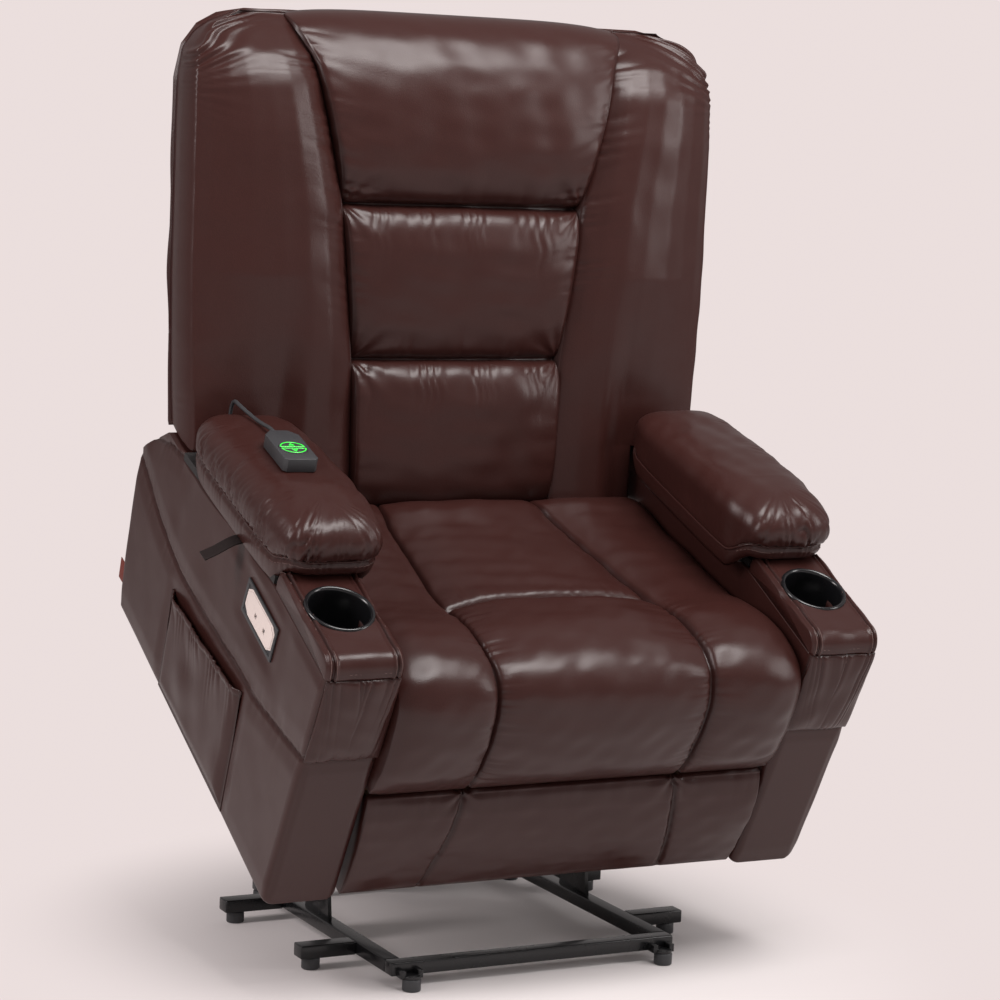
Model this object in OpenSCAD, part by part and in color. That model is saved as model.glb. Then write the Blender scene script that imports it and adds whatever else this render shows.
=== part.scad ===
// Lift recliner chair, millimetres. The chair is drawn raised on its lift base.
// Part frame: +Z up, the sitter faces -Y, origin on the floor.
// Chair frame: y from the arms' front face to the rear, z up from the arms' bottom edge.

/* [Overall] */
// Width across both arms
chair_w = 900; // [880:5:940]
// Forward tilt of the raised chair, degrees
lift_tilt = 28.4; // [26:0.2:30]
// Arms' front bottom edge when raised: distance behind the base's front face
raised_y = 0; // [-10:1:10]
// Arms' front bottom edge when raised: height above the floor
raised_z = 144.5; // [140:0.5:160]
// Arms' front bottom edge when lowered: distance behind the base's front face
lowered_y = 70; // [60:1:80]
// Arms' bottom edge when lowered: height above the floor
lowered_z = 55; // [52:1:62]
// Middle of the chair's whole length, behind the base's front face
origin_y = 213.9; // [150:0.1:260]

/* [Base] */
// Half width over the base rails
base_half_w = 240; // [236:1:242]
// Length of the base rails
base_len = 535; // [520:1:550]
// Side of the square base tube
tube = 25; // [20:0.5:26]
// Height of the base tube's section
tube_h = 20.5; // [18:0.5:24]
// Height of the glide feet
foot_h = 18; // [14:1:22]
// Diameter of the glide feet
foot_d = 28; // [24:1:32]
// Reach of the front outriggers from the middle
front_reach = 330; // [300:1:340]
// Reach of the rear outriggers from the middle
rear_reach = 338; // [300:1:345]
// Front outriggers' place along the rails
front_outrigger_y = 125; // [110:1:140]
// Rear outriggers' place along the rails
rear_outrigger_y = 404; // [395:1:415]

/* [Lift mechanism] */
// Lift pivot on the base: distance behind the front face
post_y = 297.5; // [290:0.5:305]
// Lift pivot on the base: height
post_z = 180; // [176:0.5:184]
// Tilt pivot on the chair frame: distance behind the arms' front face
tilt_y = 450; // [440:1:460]
// Tilt pivot on the chair frame: height above the arms' bottom edge
tilt_z = 50; // [46:1:54]
// Thickness of the steel links and plates
plate_t = 6; // [5:0.5:6]
// Radius of the torque tube
torque_r = 15; // [13:0.5:16]
// Radius of the pivot pins
pin_r = 6; // [5:0.5:7]
// Length of the drive crank
crank_len = 70; // [66:1:72]
// Angle between the drive crank and the lift arms, degrees
crank_lead = 38.5; // [34:0.5:42]
// Motor pivot: distance in front of the base's rear face
motor_y = 50; // [45:1:57]
// Motor pivot: height
motor_z = 70; // [66:1:76]

/* [Arms] */
// Width of each arm
arm_w = 115; // [108:1:120]
// Length of the arm's bottom edge
arm_len = 705; // [695:1:715]
// Rear upper corner of the arm, from the front face
arm_rear_y = 759; // [750:1:765]
// Rear upper corner of the arm, height
arm_rear_z = 264; // [258:1:270]
// Height of the rim under the console cap
rim_z = 412; // [406:1:416]
// Length of the console at the arm's front
console_len = 213; // [205:1:216]
// Thickness of the console cap
cap_h = 29; // [26:0.5:32]
// Fall of the arm lid towards the back, degrees
lid_slope = 8; // [7:0.2:9]
// Thickness of the arm's boards
board = 15; // [12:0.5:16]
// Thickness of the arm's back post under the back wing
rear_post = 37; // [32:1:42]
// Radius of the cup well
cup_r = 44; // [40:0.5:46]
// Depth of the cup well
cup_depth = 72; // [60:1:80]
// Radius of the cup holder's rim
cup_rim_r = 51.8; // [50.5:0.1:54]
// Place of the cup holder behind the arm's front face
cup_y = 118; // [112:1:124]
// Depth of the storage bin
bin_depth = 140; // [110:1:150]

/* [Seat] */
// Height of the front seat roll
roll_z = 402; // [396:1:408]
// Height of the seat at its cross seam
seat_z = 356; // [350:1:360]
// Height of the seat at the back
seat_rear_z = 307; // [302:1:312]
// Place of the cross seam behind the arm's front face
cross_seam_y = 209; // [204:1:214]
// Depth of the seat
seat_len = 515; // [510:1:520]
// Half width of the middle seat column
column_half = 170; // [160:1:180]
// Crown of the seat lobes
seat_crown = 12; // [6:1:14]
// Lower edge of the seat roll
seat_base_z = 197; // [196:0.5:199]

/* [Footrest] */
// Height of the footrest's top edge
ottoman_z = 186; // [182:0.5:187]
// Length of each footrest link between its pivots
foot_link = 110; // [100:1:112]
// Footrest pivot behind the arm's front face
foot_pivot_y = 80; // [78:1:84]
// Footrest pivot height
foot_pivot_z = 150; // [148:1:152]
// Thickness of the footrest pad
ottoman_pad_t = 44; // [40:1:46]

/* [Back] */
// Lean of the back from upright, degrees
back_lean = 28; // [27:0.2:29]
// Height of the back above the seat, along the back
back_h = 745; // [725:1:755]
// Half width over the back wings
back_half_w = 453; // [448:1:456]
// Back hinge behind the arm's front face
hinge_y = 620; // [616:1:624]
// Back hinge height
hinge_z = 230; // [226:1:234]
// Depth from the back's front seams to its rear panel
back_depth = 86; // [80:1:90]
// Crown of the three back cushions
back_crown = 34; // [24:1:38]
// Crown of the back wings
wing_crown = 42; // [30:1:46]

/* [Arm pads] */
// Width of the pad's overhang inside the arm
pad_overhang = 34; // [28:1:36]
// Length of the lid and pad
lid_len = 388; // [380:1:390]
// Height of the pad at its front
pad_h = 108; // [98:1:112]
// Height of the pad at its rear
pad_rear_h = 84; // [76:1:90]

/* [Handset] */
// Length of the handset
handset_l = 108; // [100:1:120]
// Width of the handset
handset_w = 52; // [48:1:56]
// Thickness of the handset
handset_t = 20; // [18:0.5:24]
// Diameter of the handset's cord
cord_d = 6; // [5:0.5:7]

/* [Fits] */
// Running clearance round pins
pin_gap = 0.15; // [0.1:0.05:0.3]
// Gap between parts that move past or rest beside each other
seat_gap = 0.3; // [0.2:0.1:0.5]

/* [Hidden] */
$fn = 48;

leather = [0.22, 0.10, 0.08];
steel = [0.07, 0.07, 0.08];
wood = [0.72, 0.55, 0.36];
plastic = [0.13, 0.13, 0.14];

rail_z = foot_h + tube_h;              // top of the base tubes
arm_in = chair_w / 2 - arm_w;          // inner face of an arm
arm_out = chair_w / 2;                 // outer face of an arm

// Points in the plane of the mechanism are [y, z].
function turn(p, a) = [p.x * cos(a) - p.y * sin(a), p.x * sin(a) + p.y * cos(a)];
function bearing(p) = atan2(p.y, p.x);
base_pivot = [post_y, post_z];
tilt_pivot = [tilt_y, tilt_z];
tilt_raised = [raised_y, raised_z] + turn(tilt_pivot, lift_tilt);
tilt_lowered = [lowered_y, lowered_z] + tilt_pivot;
arm_link = norm(tilt_raised - base_pivot);
arm_angle = bearing(tilt_raised - base_pivot);
arm_angle_low = bearing(tilt_lowered - base_pivot);
crank_angle = arm_angle + crank_lead;
crank_tip = base_pivot + crank_len * [cos(crank_angle), sin(crank_angle)];
crank_angle_low = arm_angle_low + crank_lead;
crank_tip_low = base_pivot + crank_len * [cos(crank_angle_low), sin(crank_angle_low)];
motor_pivot = [base_len - motor_y, motor_z];
rod_len = norm(crank_tip - motor_pivot);
rod_len_low = norm(crank_tip_low - motor_pivot);
rod_angle = bearing(crank_tip - motor_pivot);
rod_angle_low = bearing(crank_tip_low - motor_pivot);
echo(lift_turn = arm_angle - arm_angle_low, tilt_turn = lift_tilt, link = arm_link,
    rod = rod_len, rod_low = rod_len_low, rod_angle = rod_angle, rod_angle_low = rod_angle_low);
echo(base_pivot = base_pivot, tilt_raised = tilt_raised, crank_tip = crank_tip);

// Layers of the mechanism outwards from the middle, each a plate's inner face.
arm_layer = base_half_w - plate_t - 2;          // lift arms
post_layer = arm_layer - plate_t - 2;           // posts
frame_layer = base_half_w + 1;                  // chair side plates
lower_layer = frame_layer + plate_t + 1;        // lower footrest links
upper_layer = lower_layer + plate_t + 1;        // upper footrest links
ottoman_layer = upper_layer + plate_t + 1;      // footrest brackets

// Centre of the cross tubes under the seat
cross_tube_r = 12;
cross_tube_z = seat_base_z - 39;
cross_tube_ys = [150, 470];
seat_frame_h = 25.4;
seat_frame_z = seat_base_z - seat_gap - seat_frame_h;
back_hinge = [hinge_y, hinge_z];
foot_pivot = [foot_pivot_y, foot_pivot_z];
knee = foot_pivot - [0, foot_link];

module in_part() translate([0, -origin_y, 0]) children();
module in_chair() in_part() translate([0, raised_y, raised_z]) rotate([lift_tilt, 0, 0]) children();
module both() {
    children();
    mirror([1, 0, 0]) children();
}
// Extrudes a [y, z] outline along x from x0.
module slab(x0, t) translate([x0, 0, 0]) rotate([90, 0, 90]) linear_extrude(t) children();
module rod_x(p, r, x0, x1) translate([x0, p.x, p.y]) rotate([0, 90, 0]) cylinder(h = x1 - x0, r = r);
// A link's outline between two eyes.
module link_outline(a, b, r, tip_r = undef) {
    end_r = is_undef(tip_r) ? r : tip_r;
    u = turn((b - a) / norm(b - a), 90);
    translate(a) circle(r);
    translate(b) circle(end_r);
    polygon([a + u * r, a - u * r, b - u * end_r, b + u * end_r]);
}

// Closed skin over rings of points that all have the same count.
function ring_count(rings) = len(rings[0]);
function mean(points) = [for (k = [0:2]) let (s = [for (p = points) p[k]]) sum(s) / len(s)];
function sum(v, i = 0) = i < len(v) ? v[i] + sum(v, i + 1) : 0;
module skin(rings, flip = false) {
    n = len(rings);
    m = ring_count(rings);
    points = concat([for (r = rings) each r], [mean(rings[0]), mean(rings[n - 1])]);
    sides = [for (i = [0:n - 2], j = [0:m - 1]) let (a = i * m + j, b = i * m + (j + 1) % m)
        each [[a, b, a + m], [b, b + m, a + m]]];
    caps = [for (j = [0:m - 1]) let (k = (j + 1) % m, e = (n - 1) * m)
        each [[n * m, k, j], [n * m + 1, e + j, e + k]]];
    faces = concat(sides, caps);
    polyhedron(points, flip ? [for (f = faces) [f[2], f[1], f[0]]] : faces);
}
// 1 in the middle of a lobe, 0 at its seams (t from -1 to 1).
function lobe(t) = pow(max(0, 1 - pow(abs(t), 2.6)), 0.5);
// Straight line through named stops [[at, value], ...].
function along(stops, t, i = 0) =
    t <= stops[0][0] ? stops[0][1] :
    i >= len(stops) - 1 ? stops[len(stops) - 1][1] :
    t <= stops[i + 1][0]
        ? let (a = stops[i], b = stops[i + 1]) a[1] + (b[1] - a[1]) * (t - a[0]) / (b[0] - a[0])
        : along(stops, t, i + 1);

// ---- Base ----

module base_rails() color(steel) in_part() both()
    translate([base_half_w - tube, tube, foot_h]) cube([tube, base_len - 2 * tube, tube_h]);

module base_front_bar() color(steel) in_part()
    translate([-base_half_w, 0, foot_h]) cube([2 * base_half_w, tube, tube_h]);

module base_rear_bar() color(steel) in_part()
    translate([-base_half_w, base_len - tube, foot_h]) cube([2 * base_half_w, tube, tube_h]);

module outriggers() color(steel) in_part() both() {
    translate([base_half_w, front_outrigger_y, foot_h])
        cube([front_reach - base_half_w, tube + 5, tube_h]);
    translate([base_half_w, rear_outrigger_y, foot_h])
        cube([rear_reach - base_half_w, tube + 5, tube_h]);
}

corner_foot = [base_half_w - 26, -15.5];
foot_places = [corner_foot, [front_reach - 22, front_outrigger_y + 15],
    [rear_reach - 22, rear_outrigger_y + 15], [base_half_w - tube / 2, base_len - tube / 2]];
module glide_feet() color(steel) in_part() both()
    for (i = [0:3]) translate([foot_places[i].x, foot_places[i].y, 0]) cylinder(h = foot_h, d = foot_d);

// A curved saddle with two lugs holds each front corner foot.
module foot_brackets() color(steel) in_part() both()
    translate([corner_foot.x, corner_foot.y, foot_h]) {
        cylinder(h = 5, d = foot_d - 2);
        for (s = [-1, 1]) translate([s * 14 - 4, -2, 0]) cube([8, -corner_foot.y + 2, 12]);
    }

module lift_posts() color(steel) in_part() both() slab(post_layer, plate_t) difference() {
    union() {
        translate(base_pivot) circle(24);
        polygon([[post_y - 45, rail_z], [post_y + 45, rail_z],
            base_pivot + [23.5, -5], base_pivot + [-23.5, -5]]);
    }
    translate(base_pivot) circle(torque_r + pin_gap);
}

module motor_bracket() color(steel) in_part() {
    for (s = [-1, 1]) slab(s * 36 - 3, 6) difference() {
        union() {
            translate(motor_pivot) circle(14);
            polygon([[base_len - tube, foot_h + 2], [base_len - tube, rail_z - 1],
                motor_pivot + [8, 11], motor_pivot + [-8, -11]]);
        }
        translate(motor_pivot) circle(pin_r + pin_gap);
    }
    rod_x(motor_pivot, pin_r, -44, 44);
}

// ---- Lift arm ----

module lift_arms() color(steel) in_part() both() slab(arm_layer, plate_t) difference() {
    link_outline(base_pivot, tilt_raised, 20);
    translate(base_pivot) circle(torque_r + pin_gap);
    translate(tilt_raised) circle(pin_r + pin_gap);
}

module torque_tube() color(steel) in_part()
    rod_x(base_pivot, torque_r, -arm_layer - plate_t - 1, arm_layer + plate_t + 1);

crank_gap = 12;
module drive_crank() color(steel) in_part() both() slab(crank_gap, plate_t) difference() {
    link_outline(base_pivot, crank_tip, 19, 13);
    translate(base_pivot) circle(torque_r + pin_gap);
    translate(crank_tip) circle(pin_r + pin_gap);
}

module tilt_pins() color(steel) in_part() both()
    rod_x(tilt_raised, pin_r, arm_layer - 2, frame_layer + plate_t);

// ---- Lift motor ----

module on_motor() in_part() translate([0, motor_pivot.x, motor_pivot.y]) rotate([rod_angle, 0, 0]) children();
housing_len = 88;
tube_out_r = 17;
motor_tube_len = 150;
rod_r = 11;
rod_bore_r = rod_r + 0.3;
rod_start = 124;                               // inner end of the rod when it is out
bore_start = 26;                               // bottom of the rod's bore in the housing
module motor_housing() color(plastic) on_motor() difference() {
    union() {
        translate([-30, -16, -24]) cube([60, housing_len, 48]);
        rotate([0, 90, 0]) translate([0, 42, 30]) cylinder(h = 84, r = 24);
    }
    rotate([0, 90, 0]) cylinder(h = 70, r = pin_r + pin_gap, center = true);
    translate([0, bore_start, 0]) rotate([-90, 0, 0]) cylinder(h = housing_len, r = rod_bore_r);
}

module motor_tube() color(steel) on_motor() translate([0, housing_len - 16, 0]) rotate([-90, 0, 0])
    difference() {
        cylinder(h = motor_tube_len - housing_len + 16, r = tube_out_r);
        translate([0, 0, -1]) cylinder(h = motor_tube_len, r = rod_bore_r);
    }

module motor_rod() color([0.75, 0.76, 0.78]) on_motor() {
    translate([0, rod_start, 0]) rotate([-90, 0, 0]) cylinder(h = rod_len - rod_start - 5, r = rod_r);
    rod_x([rod_len, 0], rod_r - 0.5, -crank_gap + seat_gap, crank_gap - seat_gap);
}

// ---- Chair frame ----

plate_top = seat_frame_z - seat_gap;
plate_outline = [[55, 118], [55, 162], [cross_tube_ys[0] - 20, plate_top],
    [540, plate_top], [596, hinge_z + 16], [hinge_y + 18, hinge_z + 16],
    [hinge_y + 20, hinge_z - 14], [560, 150], [510, 112], [tilt_y + 30, tilt_z],
    [tilt_y + 20, tilt_z - 22], [tilt_y - 20, tilt_z - 22], [tilt_y - 30, tilt_z], [400, 118]];
module frame_plates() color(steel) in_chair() both() slab(frame_layer, plate_t) difference() {
    union() {
        polygon(plate_outline);
        translate(foot_pivot) circle(14);
    }
    translate(tilt_pivot) circle(pin_r + pin_gap);
    translate(back_hinge) circle(pin_r + pin_gap);
    translate(foot_pivot) circle(pin_r + pin_gap);
    for (y = cross_tube_ys) translate([y, cross_tube_z]) circle(cross_tube_r + pin_gap);
}

module frame_tubes() color(steel) in_chair()
    for (y = cross_tube_ys) rod_x([y, cross_tube_z], cross_tube_r, -arm_in + seat_gap, arm_in - seat_gap);

module frame_pins() color([0.7, 0.7, 0.72]) in_chair() both() {
    rod_x(foot_pivot, pin_r, frame_layer, lower_layer + plate_t);
    rod_x(back_hinge, pin_r, frame_layer - plate_t - 2, frame_layer + plate_t);
}

frame_rail = 30;
frame_front = 42;
frame_inner = seat_len - frame_front - 2 * frame_rail;
module seat_frame() color(wood) in_chair() translate([0, 0, seat_frame_z]) {
    for (y = [frame_front, seat_len - frame_rail])
        translate([-arm_in + seat_gap, y, 0]) cube([2 * (arm_in - seat_gap), frame_rail, seat_frame_h]);
    both() translate([arm_in - seat_gap - frame_rail, frame_front + frame_rail + seat_gap, 0])
        cube([frame_rail, frame_inner - 2 * seat_gap, seat_frame_h]);
}

// Sinuous wires run from the front rail to the rear rail, level with the frame's top.
wire = 3.5;
wave = 16;
wire_ys = [for (i = [0:48]) frame_front + frame_rail + i * frame_inner / 48];
module seat_springs() color([0.5, 0.5, 0.52]) in_chair()
    for (x = [-225, -135, -60, 60, 135, 225])
        translate([x, 0, seat_frame_z + seat_frame_h - wire]) linear_extrude(wire)
            polygon(concat(
                [for (i = [0:48]) [wave * sin(i * 60) * (i % 48 == 0 ? 0 : 1) - wire / 2, wire_ys[i]]],
                [for (i = [48:-1:0]) [wave * sin(i * 60) * (i % 48 == 0 ? 0 : 1) + wire / 2, wire_ys[i]]]));

control_x = 70;
module control_box() color(plastic) in_chair()
    translate([control_x, cross_tube_ys[1] - 42, cross_tube_z - cross_tube_r - 46]) cube([110, 70, 45.7]);

module power_inlet() color([0.05, 0.05, 0.05]) in_chair()
    translate([control_x + 40, cross_tube_ys[1] + 28, cross_tube_z - cross_tube_r - 34]) difference() {
        cube([30, 12, 22]);
        translate([3, 4, 3]) cube([24, 12, 16]);
    }

// ---- Seat cushion ----

seat_tail = seat_len + 37;                     // the seat reaches under the back's foot
// Outer line of the seat, from the back's foot over the roll to the lower front seam.
seat_line = [[seat_tail - 14, seat_base_z + 33], [seat_tail, seat_rear_z - 29],
    [seat_tail - 4, seat_rear_z - 11], [seat_len, seat_rear_z + 1], [440, 322], [360, 336],
    [290, 348], [cross_seam_y + 18, seat_z + 1], [cross_seam_y, seat_z - 8],
    [cross_seam_y - 18, seat_z + 8],
    [155, 384], [115, 398], [75, roll_z], [35, roll_z - 2], [5, roll_z - 14], [-14, roll_z - 38],
    [-22, 330], [-23, 292], [-19, 250], [-10, 216], [0, seat_base_z]];
seat_lobe = [0, 0, 0, 0.3, 0.7, 1, 0.8, 0.4, 0, 0.4, 0.9, 1, 1, 1, 1, 1, 1, 0.9, 0.7, 0.4, 0];
function seat_ring(x) =
    let (half = arm_in - 4, inner = abs(x) < column_half,
        t = inner ? x / column_half : (abs(x) - column_half) / (half - column_half) * 2 - 1,
        bulge = seat_crown * lobe(t) - 7 * (1 - lobe(t)) * (inner || t < 0 ? 1 : 1.3))
    concat(
        [for (i = [0:len(seat_line) - 1])
            let (n = len(seat_line), a = seat_line[max(0, i - 1)], b = seat_line[min(n - 1, i + 1)],
                normal = turn((b - a) / norm(b - a), -90))
            [x, seat_line[i].x + normal.x * bulge * seat_lobe[i],
                seat_line[i].y + normal.y * bulge * seat_lobe[i]]],
        [for (y = [60, 170, 280, 390, seat_len + 4]) [x, y, seat_base_z]]);
function seat_stations() =
    let (half = arm_in - 4, side = [-1, -0.9, -0.65, -0.3, 0, 0.3, 0.65, 0.9])
    concat(
        [for (t = side) -half + (t + 1) / 2 * (half - column_half)],
        [for (t = [-1, -0.93, -0.75, -0.4, 0, 0.4, 0.75, 0.93]) t * column_half],
        [for (t = side) column_half + (t + 1) / 2 * (half - column_half)],
        [half]);
module seat_cushion() color(leather) in_chair() skin([for (x = seat_stations()) seat_ring(x)], true);

// ---- Arms ----

lid_front = console_len + 2;                 // where the lid's plane leaves the rim
function rim_at(y) = rim_z - tan(lid_slope) * (y - lid_front);
lid_rear_y = lid_front + lid_len * cos(lid_slope);
post_front_y = lid_rear_y + 4;
post_top = [667, hinge_z + 133];
arm_outline = [[0, 0], [arm_len, 0], [arm_rear_y, arm_rear_z], [716, post_top.y - 48], post_top,
    [post_front_y, rim_at(post_front_y) + 4.5], [post_front_y, rim_at(post_front_y)],
    [lid_front, rim_z], [0, rim_z]];
arm_hollow = [[board, board], [arm_len - board, board], [arm_rear_y - board - 5, arm_rear_z - 10],
    [700 - board, post_top.y - 62], [post_top.x - rear_post, post_top.y - 24],
    [post_front_y - 2, rim_at(post_front_y) + 30], [lid_front, rim_z + 30], [board, rim_z + 30]];
module arm_shell() difference() {
    slab(arm_in, arm_w) polygon(arm_outline);
    slab(arm_in + board, arm_w - 2 * board) polygon(arm_hollow);
    // Room for the cup well, which is wider than the hollow
    translate([cup_x, cup_y, cup_foot - seat_gap]) cylinder(h = cup_depth, r = cup_out_r + seat_gap);
}
// The left arm has a pass hole for the USB module.
module arm_shell_left() color(leather) in_chair() mirror([1, 0, 0]) difference() {
    arm_shell();
    translate([arm_out - board - 1, usb_y - usb_body_l / 2 - seat_gap,
        usb_z - usb_body_h / 2 - seat_gap])
        cube([board + 2, usb_body_l + 2 * seat_gap, usb_body_h + 2 * seat_gap]);
}
module arm_shell_right() color(leather) in_chair() arm_shell();

// Padded cap over the console, with the cup holder's hole.
cap_round = 13;
cap_z = rim_z + seat_gap;
cup_x = arm_in + arm_w / 2;
cup_wall = 1.5;
cup_out_r = cup_r + cup_wall;
cup_seat_z = cap_z + cap_h + seat_gap;         // underside of the cup holder's rim
cup_foot = cup_seat_z - cup_depth - cup_wall;
module console_cap() color(leather) difference() {
    hull() {
        translate([arm_in, 0, cap_z]) cube([arm_w, console_len, 6]);
        for (x = [arm_in + cap_round, arm_out - cap_round], y = [cap_round + 2, console_len - cap_round])
            translate([x, y, cap_z + cap_h - cap_round]) sphere(cap_round, $fn = 32);
    }
    translate([cup_x, cup_y, cap_z - 1]) cylinder(h = cap_h + 2, r = cup_out_r + seat_gap);
}
module console_cap_left() in_chair() mirror([1, 0, 0]) console_cap();
module console_cap_right() in_chair() console_cap();

module cup_holders() color([0.03, 0.03, 0.03]) in_chair() both()
    translate([cup_x, cup_y, cup_seat_z]) difference() {
        union() {
            cylinder(h = 2.2, r = cup_rim_r);
            translate([0, 0, cup_foot - cup_seat_z]) cylinder(h = cup_depth + 2, r = cup_out_r);
        }
        translate([0, 0, -cup_depth]) cylinder(h = cup_depth + 5, r = cup_r);
    }

// Frame of the arm lid: y down the slope from the lid's front, z square to the rim.
module on_rim() translate([0, lid_front, rim_z]) rotate([-lid_slope, 0, 0]) children();

bin_wall = 3;
bin_front = 16;
bin_len = lid_len - 34;
bin_w = arm_w - 2 * board - 2;
flange_t = 1.5;
module storage_bins() color(plastic) in_chair() both() on_rim() difference() {
    union() {
        translate([arm_in + board + 1, bin_front, -bin_depth]) cube([bin_w, bin_len, bin_depth + 1]);
        translate([arm_in + board + 1, 3, seat_gap]) cube([bin_w + board - 2, lid_len - 8, flange_t]);
    }
    translate([arm_in + board + 1 + bin_wall, bin_front + bin_wall, -bin_depth + bin_wall])
        cube([bin_w - 2 * bin_wall, bin_len - 2 * bin_wall, bin_depth + 10]);
}

// Side pocket: an outer flap held off the side by its three sewn edges.
pocket_gap = 6.5;
pocket_t = 3;
pocket_outline = [[194, 8], [497, 5], [523, 172], [223, 212]];
pocket_hollow = [[200, 14], [491, 11], [525, 230], [232, 230]];
module side_pockets() color(leather) in_chair() both() difference() {
    slab(arm_out, pocket_gap + pocket_t) polygon(pocket_outline);
    slab(arm_out - 1, pocket_gap + 1) polygon(pocket_hollow);
}

// Gathered panel on each arm's front, between the lower seam and the console band.
pouch_low = 268;
pouch_top = rim_z;
pouch_depth = 11;
pleats = 5;
function pouch_ring(x) = let (t = (x - arm_in) / arm_w * 2 - 1)
    concat(
        [for (k = [0:8]) let (v = k / 8, fold = 1.6 * cos(360 * pleats * (t + 1) / 2) * (0.3 + v))
            [x, -1.5 - (pouch_depth * lobe(t * 0.96) + fold) * lobe(v * 2 - 1),
                pouch_low + v * (pouch_top - pouch_low)]],
        [for (v = [1, 0.5, 0]) [x, -seat_gap, pouch_low + v * (pouch_top - pouch_low)]]);
module front_pouches() color(leather) in_chair() both()
    skin([for (i = [0:20]) pouch_ring(arm_in + 1 + i * (arm_w - 2) / 20)]);

hinge_h = 6;
hinge_x = arm_in - 2;
knuckle_r = 3;
knuckles = 6;
hinge_len = lid_len - 40;
knuckle = hinge_len / knuckles;
module hinge_knuckles(first) difference() {
    for (i = [first:2:knuckles - 1])
        translate([hinge_x, 20 + i * knuckle + 0.2, hinge_h]) rotate([-90, 0, 0])
            cylinder(h = knuckle - 0.4, r = knuckle_r);
    translate([hinge_x, 10, hinge_h]) rotate([-90, 0, 0]) cylinder(h = hinge_len + 20, r = 1.6);
}
module lid_hinges() color([0.6, 0.6, 0.62]) in_chair() both() on_rim() {
    hinge_knuckles(0);
    for (i = [0:2:knuckles - 1]) translate([hinge_x - knuckle_r + 0.1, 20 + i * knuckle + 0.2, seat_gap])
        cube([board, knuckle - 0.4, 1.4]);
    for (i = [0:2:knuckles - 1]) translate([hinge_x - knuckle_r + 0.1, 20 + i * knuckle + 0.2, seat_gap])
        cube([knuckle_r - 1.7, knuckle - 0.4, hinge_h - seat_gap]);
    translate([hinge_x, 19, hinge_h]) rotate([-90, 0, 0]) cylinder(h = hinge_len + 2, r = 1.5);
}

usb_y = 226;
usb_z = 343;
usb_l = 112;
usb_h = 46;
usb_body_l = 52;
usb_body_h = 24;
port_ys = [-22, 13];                           // the two sockets from the plate's middle
port_drop = 4;
port_side = 8;
module usb_outline(inset) {
    l = usb_l - 2 * inset;
    h = usb_h - 2 * inset;
    polygon([[-l / 2, -h * 0.28], [-l * 0.36, -h / 2], [l * 0.36, -h / 2], [l / 2, -h * 0.28],
        [l / 2, h * 0.28], [l * 0.36, h / 2], [-l * 0.36, h / 2], [-l / 2, h * 0.28]]);
}
module usb_plate() color([0.92, 0.88, 0.84]) in_chair() mirror([1, 0, 0]) difference() {
    union() {
        slab(arm_out + seat_gap, 2) translate([usb_y, usb_z]) usb_outline(0);
        slab(arm_out + seat_gap, 3.5) translate([usb_y, usb_z]) usb_outline(3);
        translate([arm_out - board + 0.5, usb_y - usb_body_l / 2, usb_z - usb_body_h / 2])
            cube([board, usb_body_l, usb_body_h]);
    }
    for (y = port_ys)
        translate([arm_out - 12, usb_y + y - port_side / 2, usb_z - port_drop - port_side / 2])
            cube([20, port_side, port_side]);
}

// Arm's rear edge at height z, which the tag is sewn to
function rear_edge(z) = arm_len + (arm_rear_y - arm_len) * z / arm_rear_z + seat_gap / 2;
tag_l = 24;
module maker_tag() color([0.30, 0.09, 0.06]) in_chair() mirror([1, 0, 0])
    translate([arm_out - 4, 0, 0]) slab(0, 1.2)
        polygon([[rear_edge(36), 36], [rear_edge(34) + tag_l, 34],
            [rear_edge(68) + tag_l, 68], [rear_edge(70), 70]]);

module cord_gland() color(plastic) in_chair() mirror([1, 0, 0])
    translate([gland.x, gland.y, gland.z - 8]) difference() {
        cylinder(h = 8, r1 = 9, r2 = 6);
        translate([0, 0, 2]) cylinder(h = 7, r = cord_d / 2 + pin_gap);
    }

// ---- Arm lids ----

lid_t = 12;
lid_h = 2.2;                                  // underside of the lid board above the rim
module lid_board() color(wood) on_rim()
    translate([arm_in + 2.5, 2, lid_h]) cube([arm_w - 2.5, lid_len - 4, lid_t]);
module lid_board_left() in_chair() mirror([1, 0, 0]) lid_board();
module lid_board_right() in_chair() lid_board();

module lid_leaf() color([0.6, 0.6, 0.62]) on_rim() {
    hinge_knuckles(1);
    for (i = [1:2:knuckles - 1])
        translate([hinge_x + knuckle_r - 0.6, 20 + i * knuckle + 0.2, hinge_h - 2])
            cube([1.8, knuckle - 0.4, 4]);
}
module lid_leaf_left() in_chair() mirror([1, 0, 0]) lid_leaf();
module lid_leaf_right() in_chair() lid_leaf();

// Pad: rings from the rear end to the nose, each a rounded section over the lid board.
pad_base = lid_h + lid_t + seat_gap;
pad_in = arm_in - pad_overhang;
pad_out = arm_out + 6;
pad_nose = 28;                                // the nose's reach over the console
pad_sections = 12;
function pad_width(s) = along([[0, 0.97], [0.3, 1], [1, 1]], s);
function pad_height(s) = along([[0, pad_rear_h], [0.35, 97], [0.75, pad_h], [1, pad_h - 8]], s);
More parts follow.
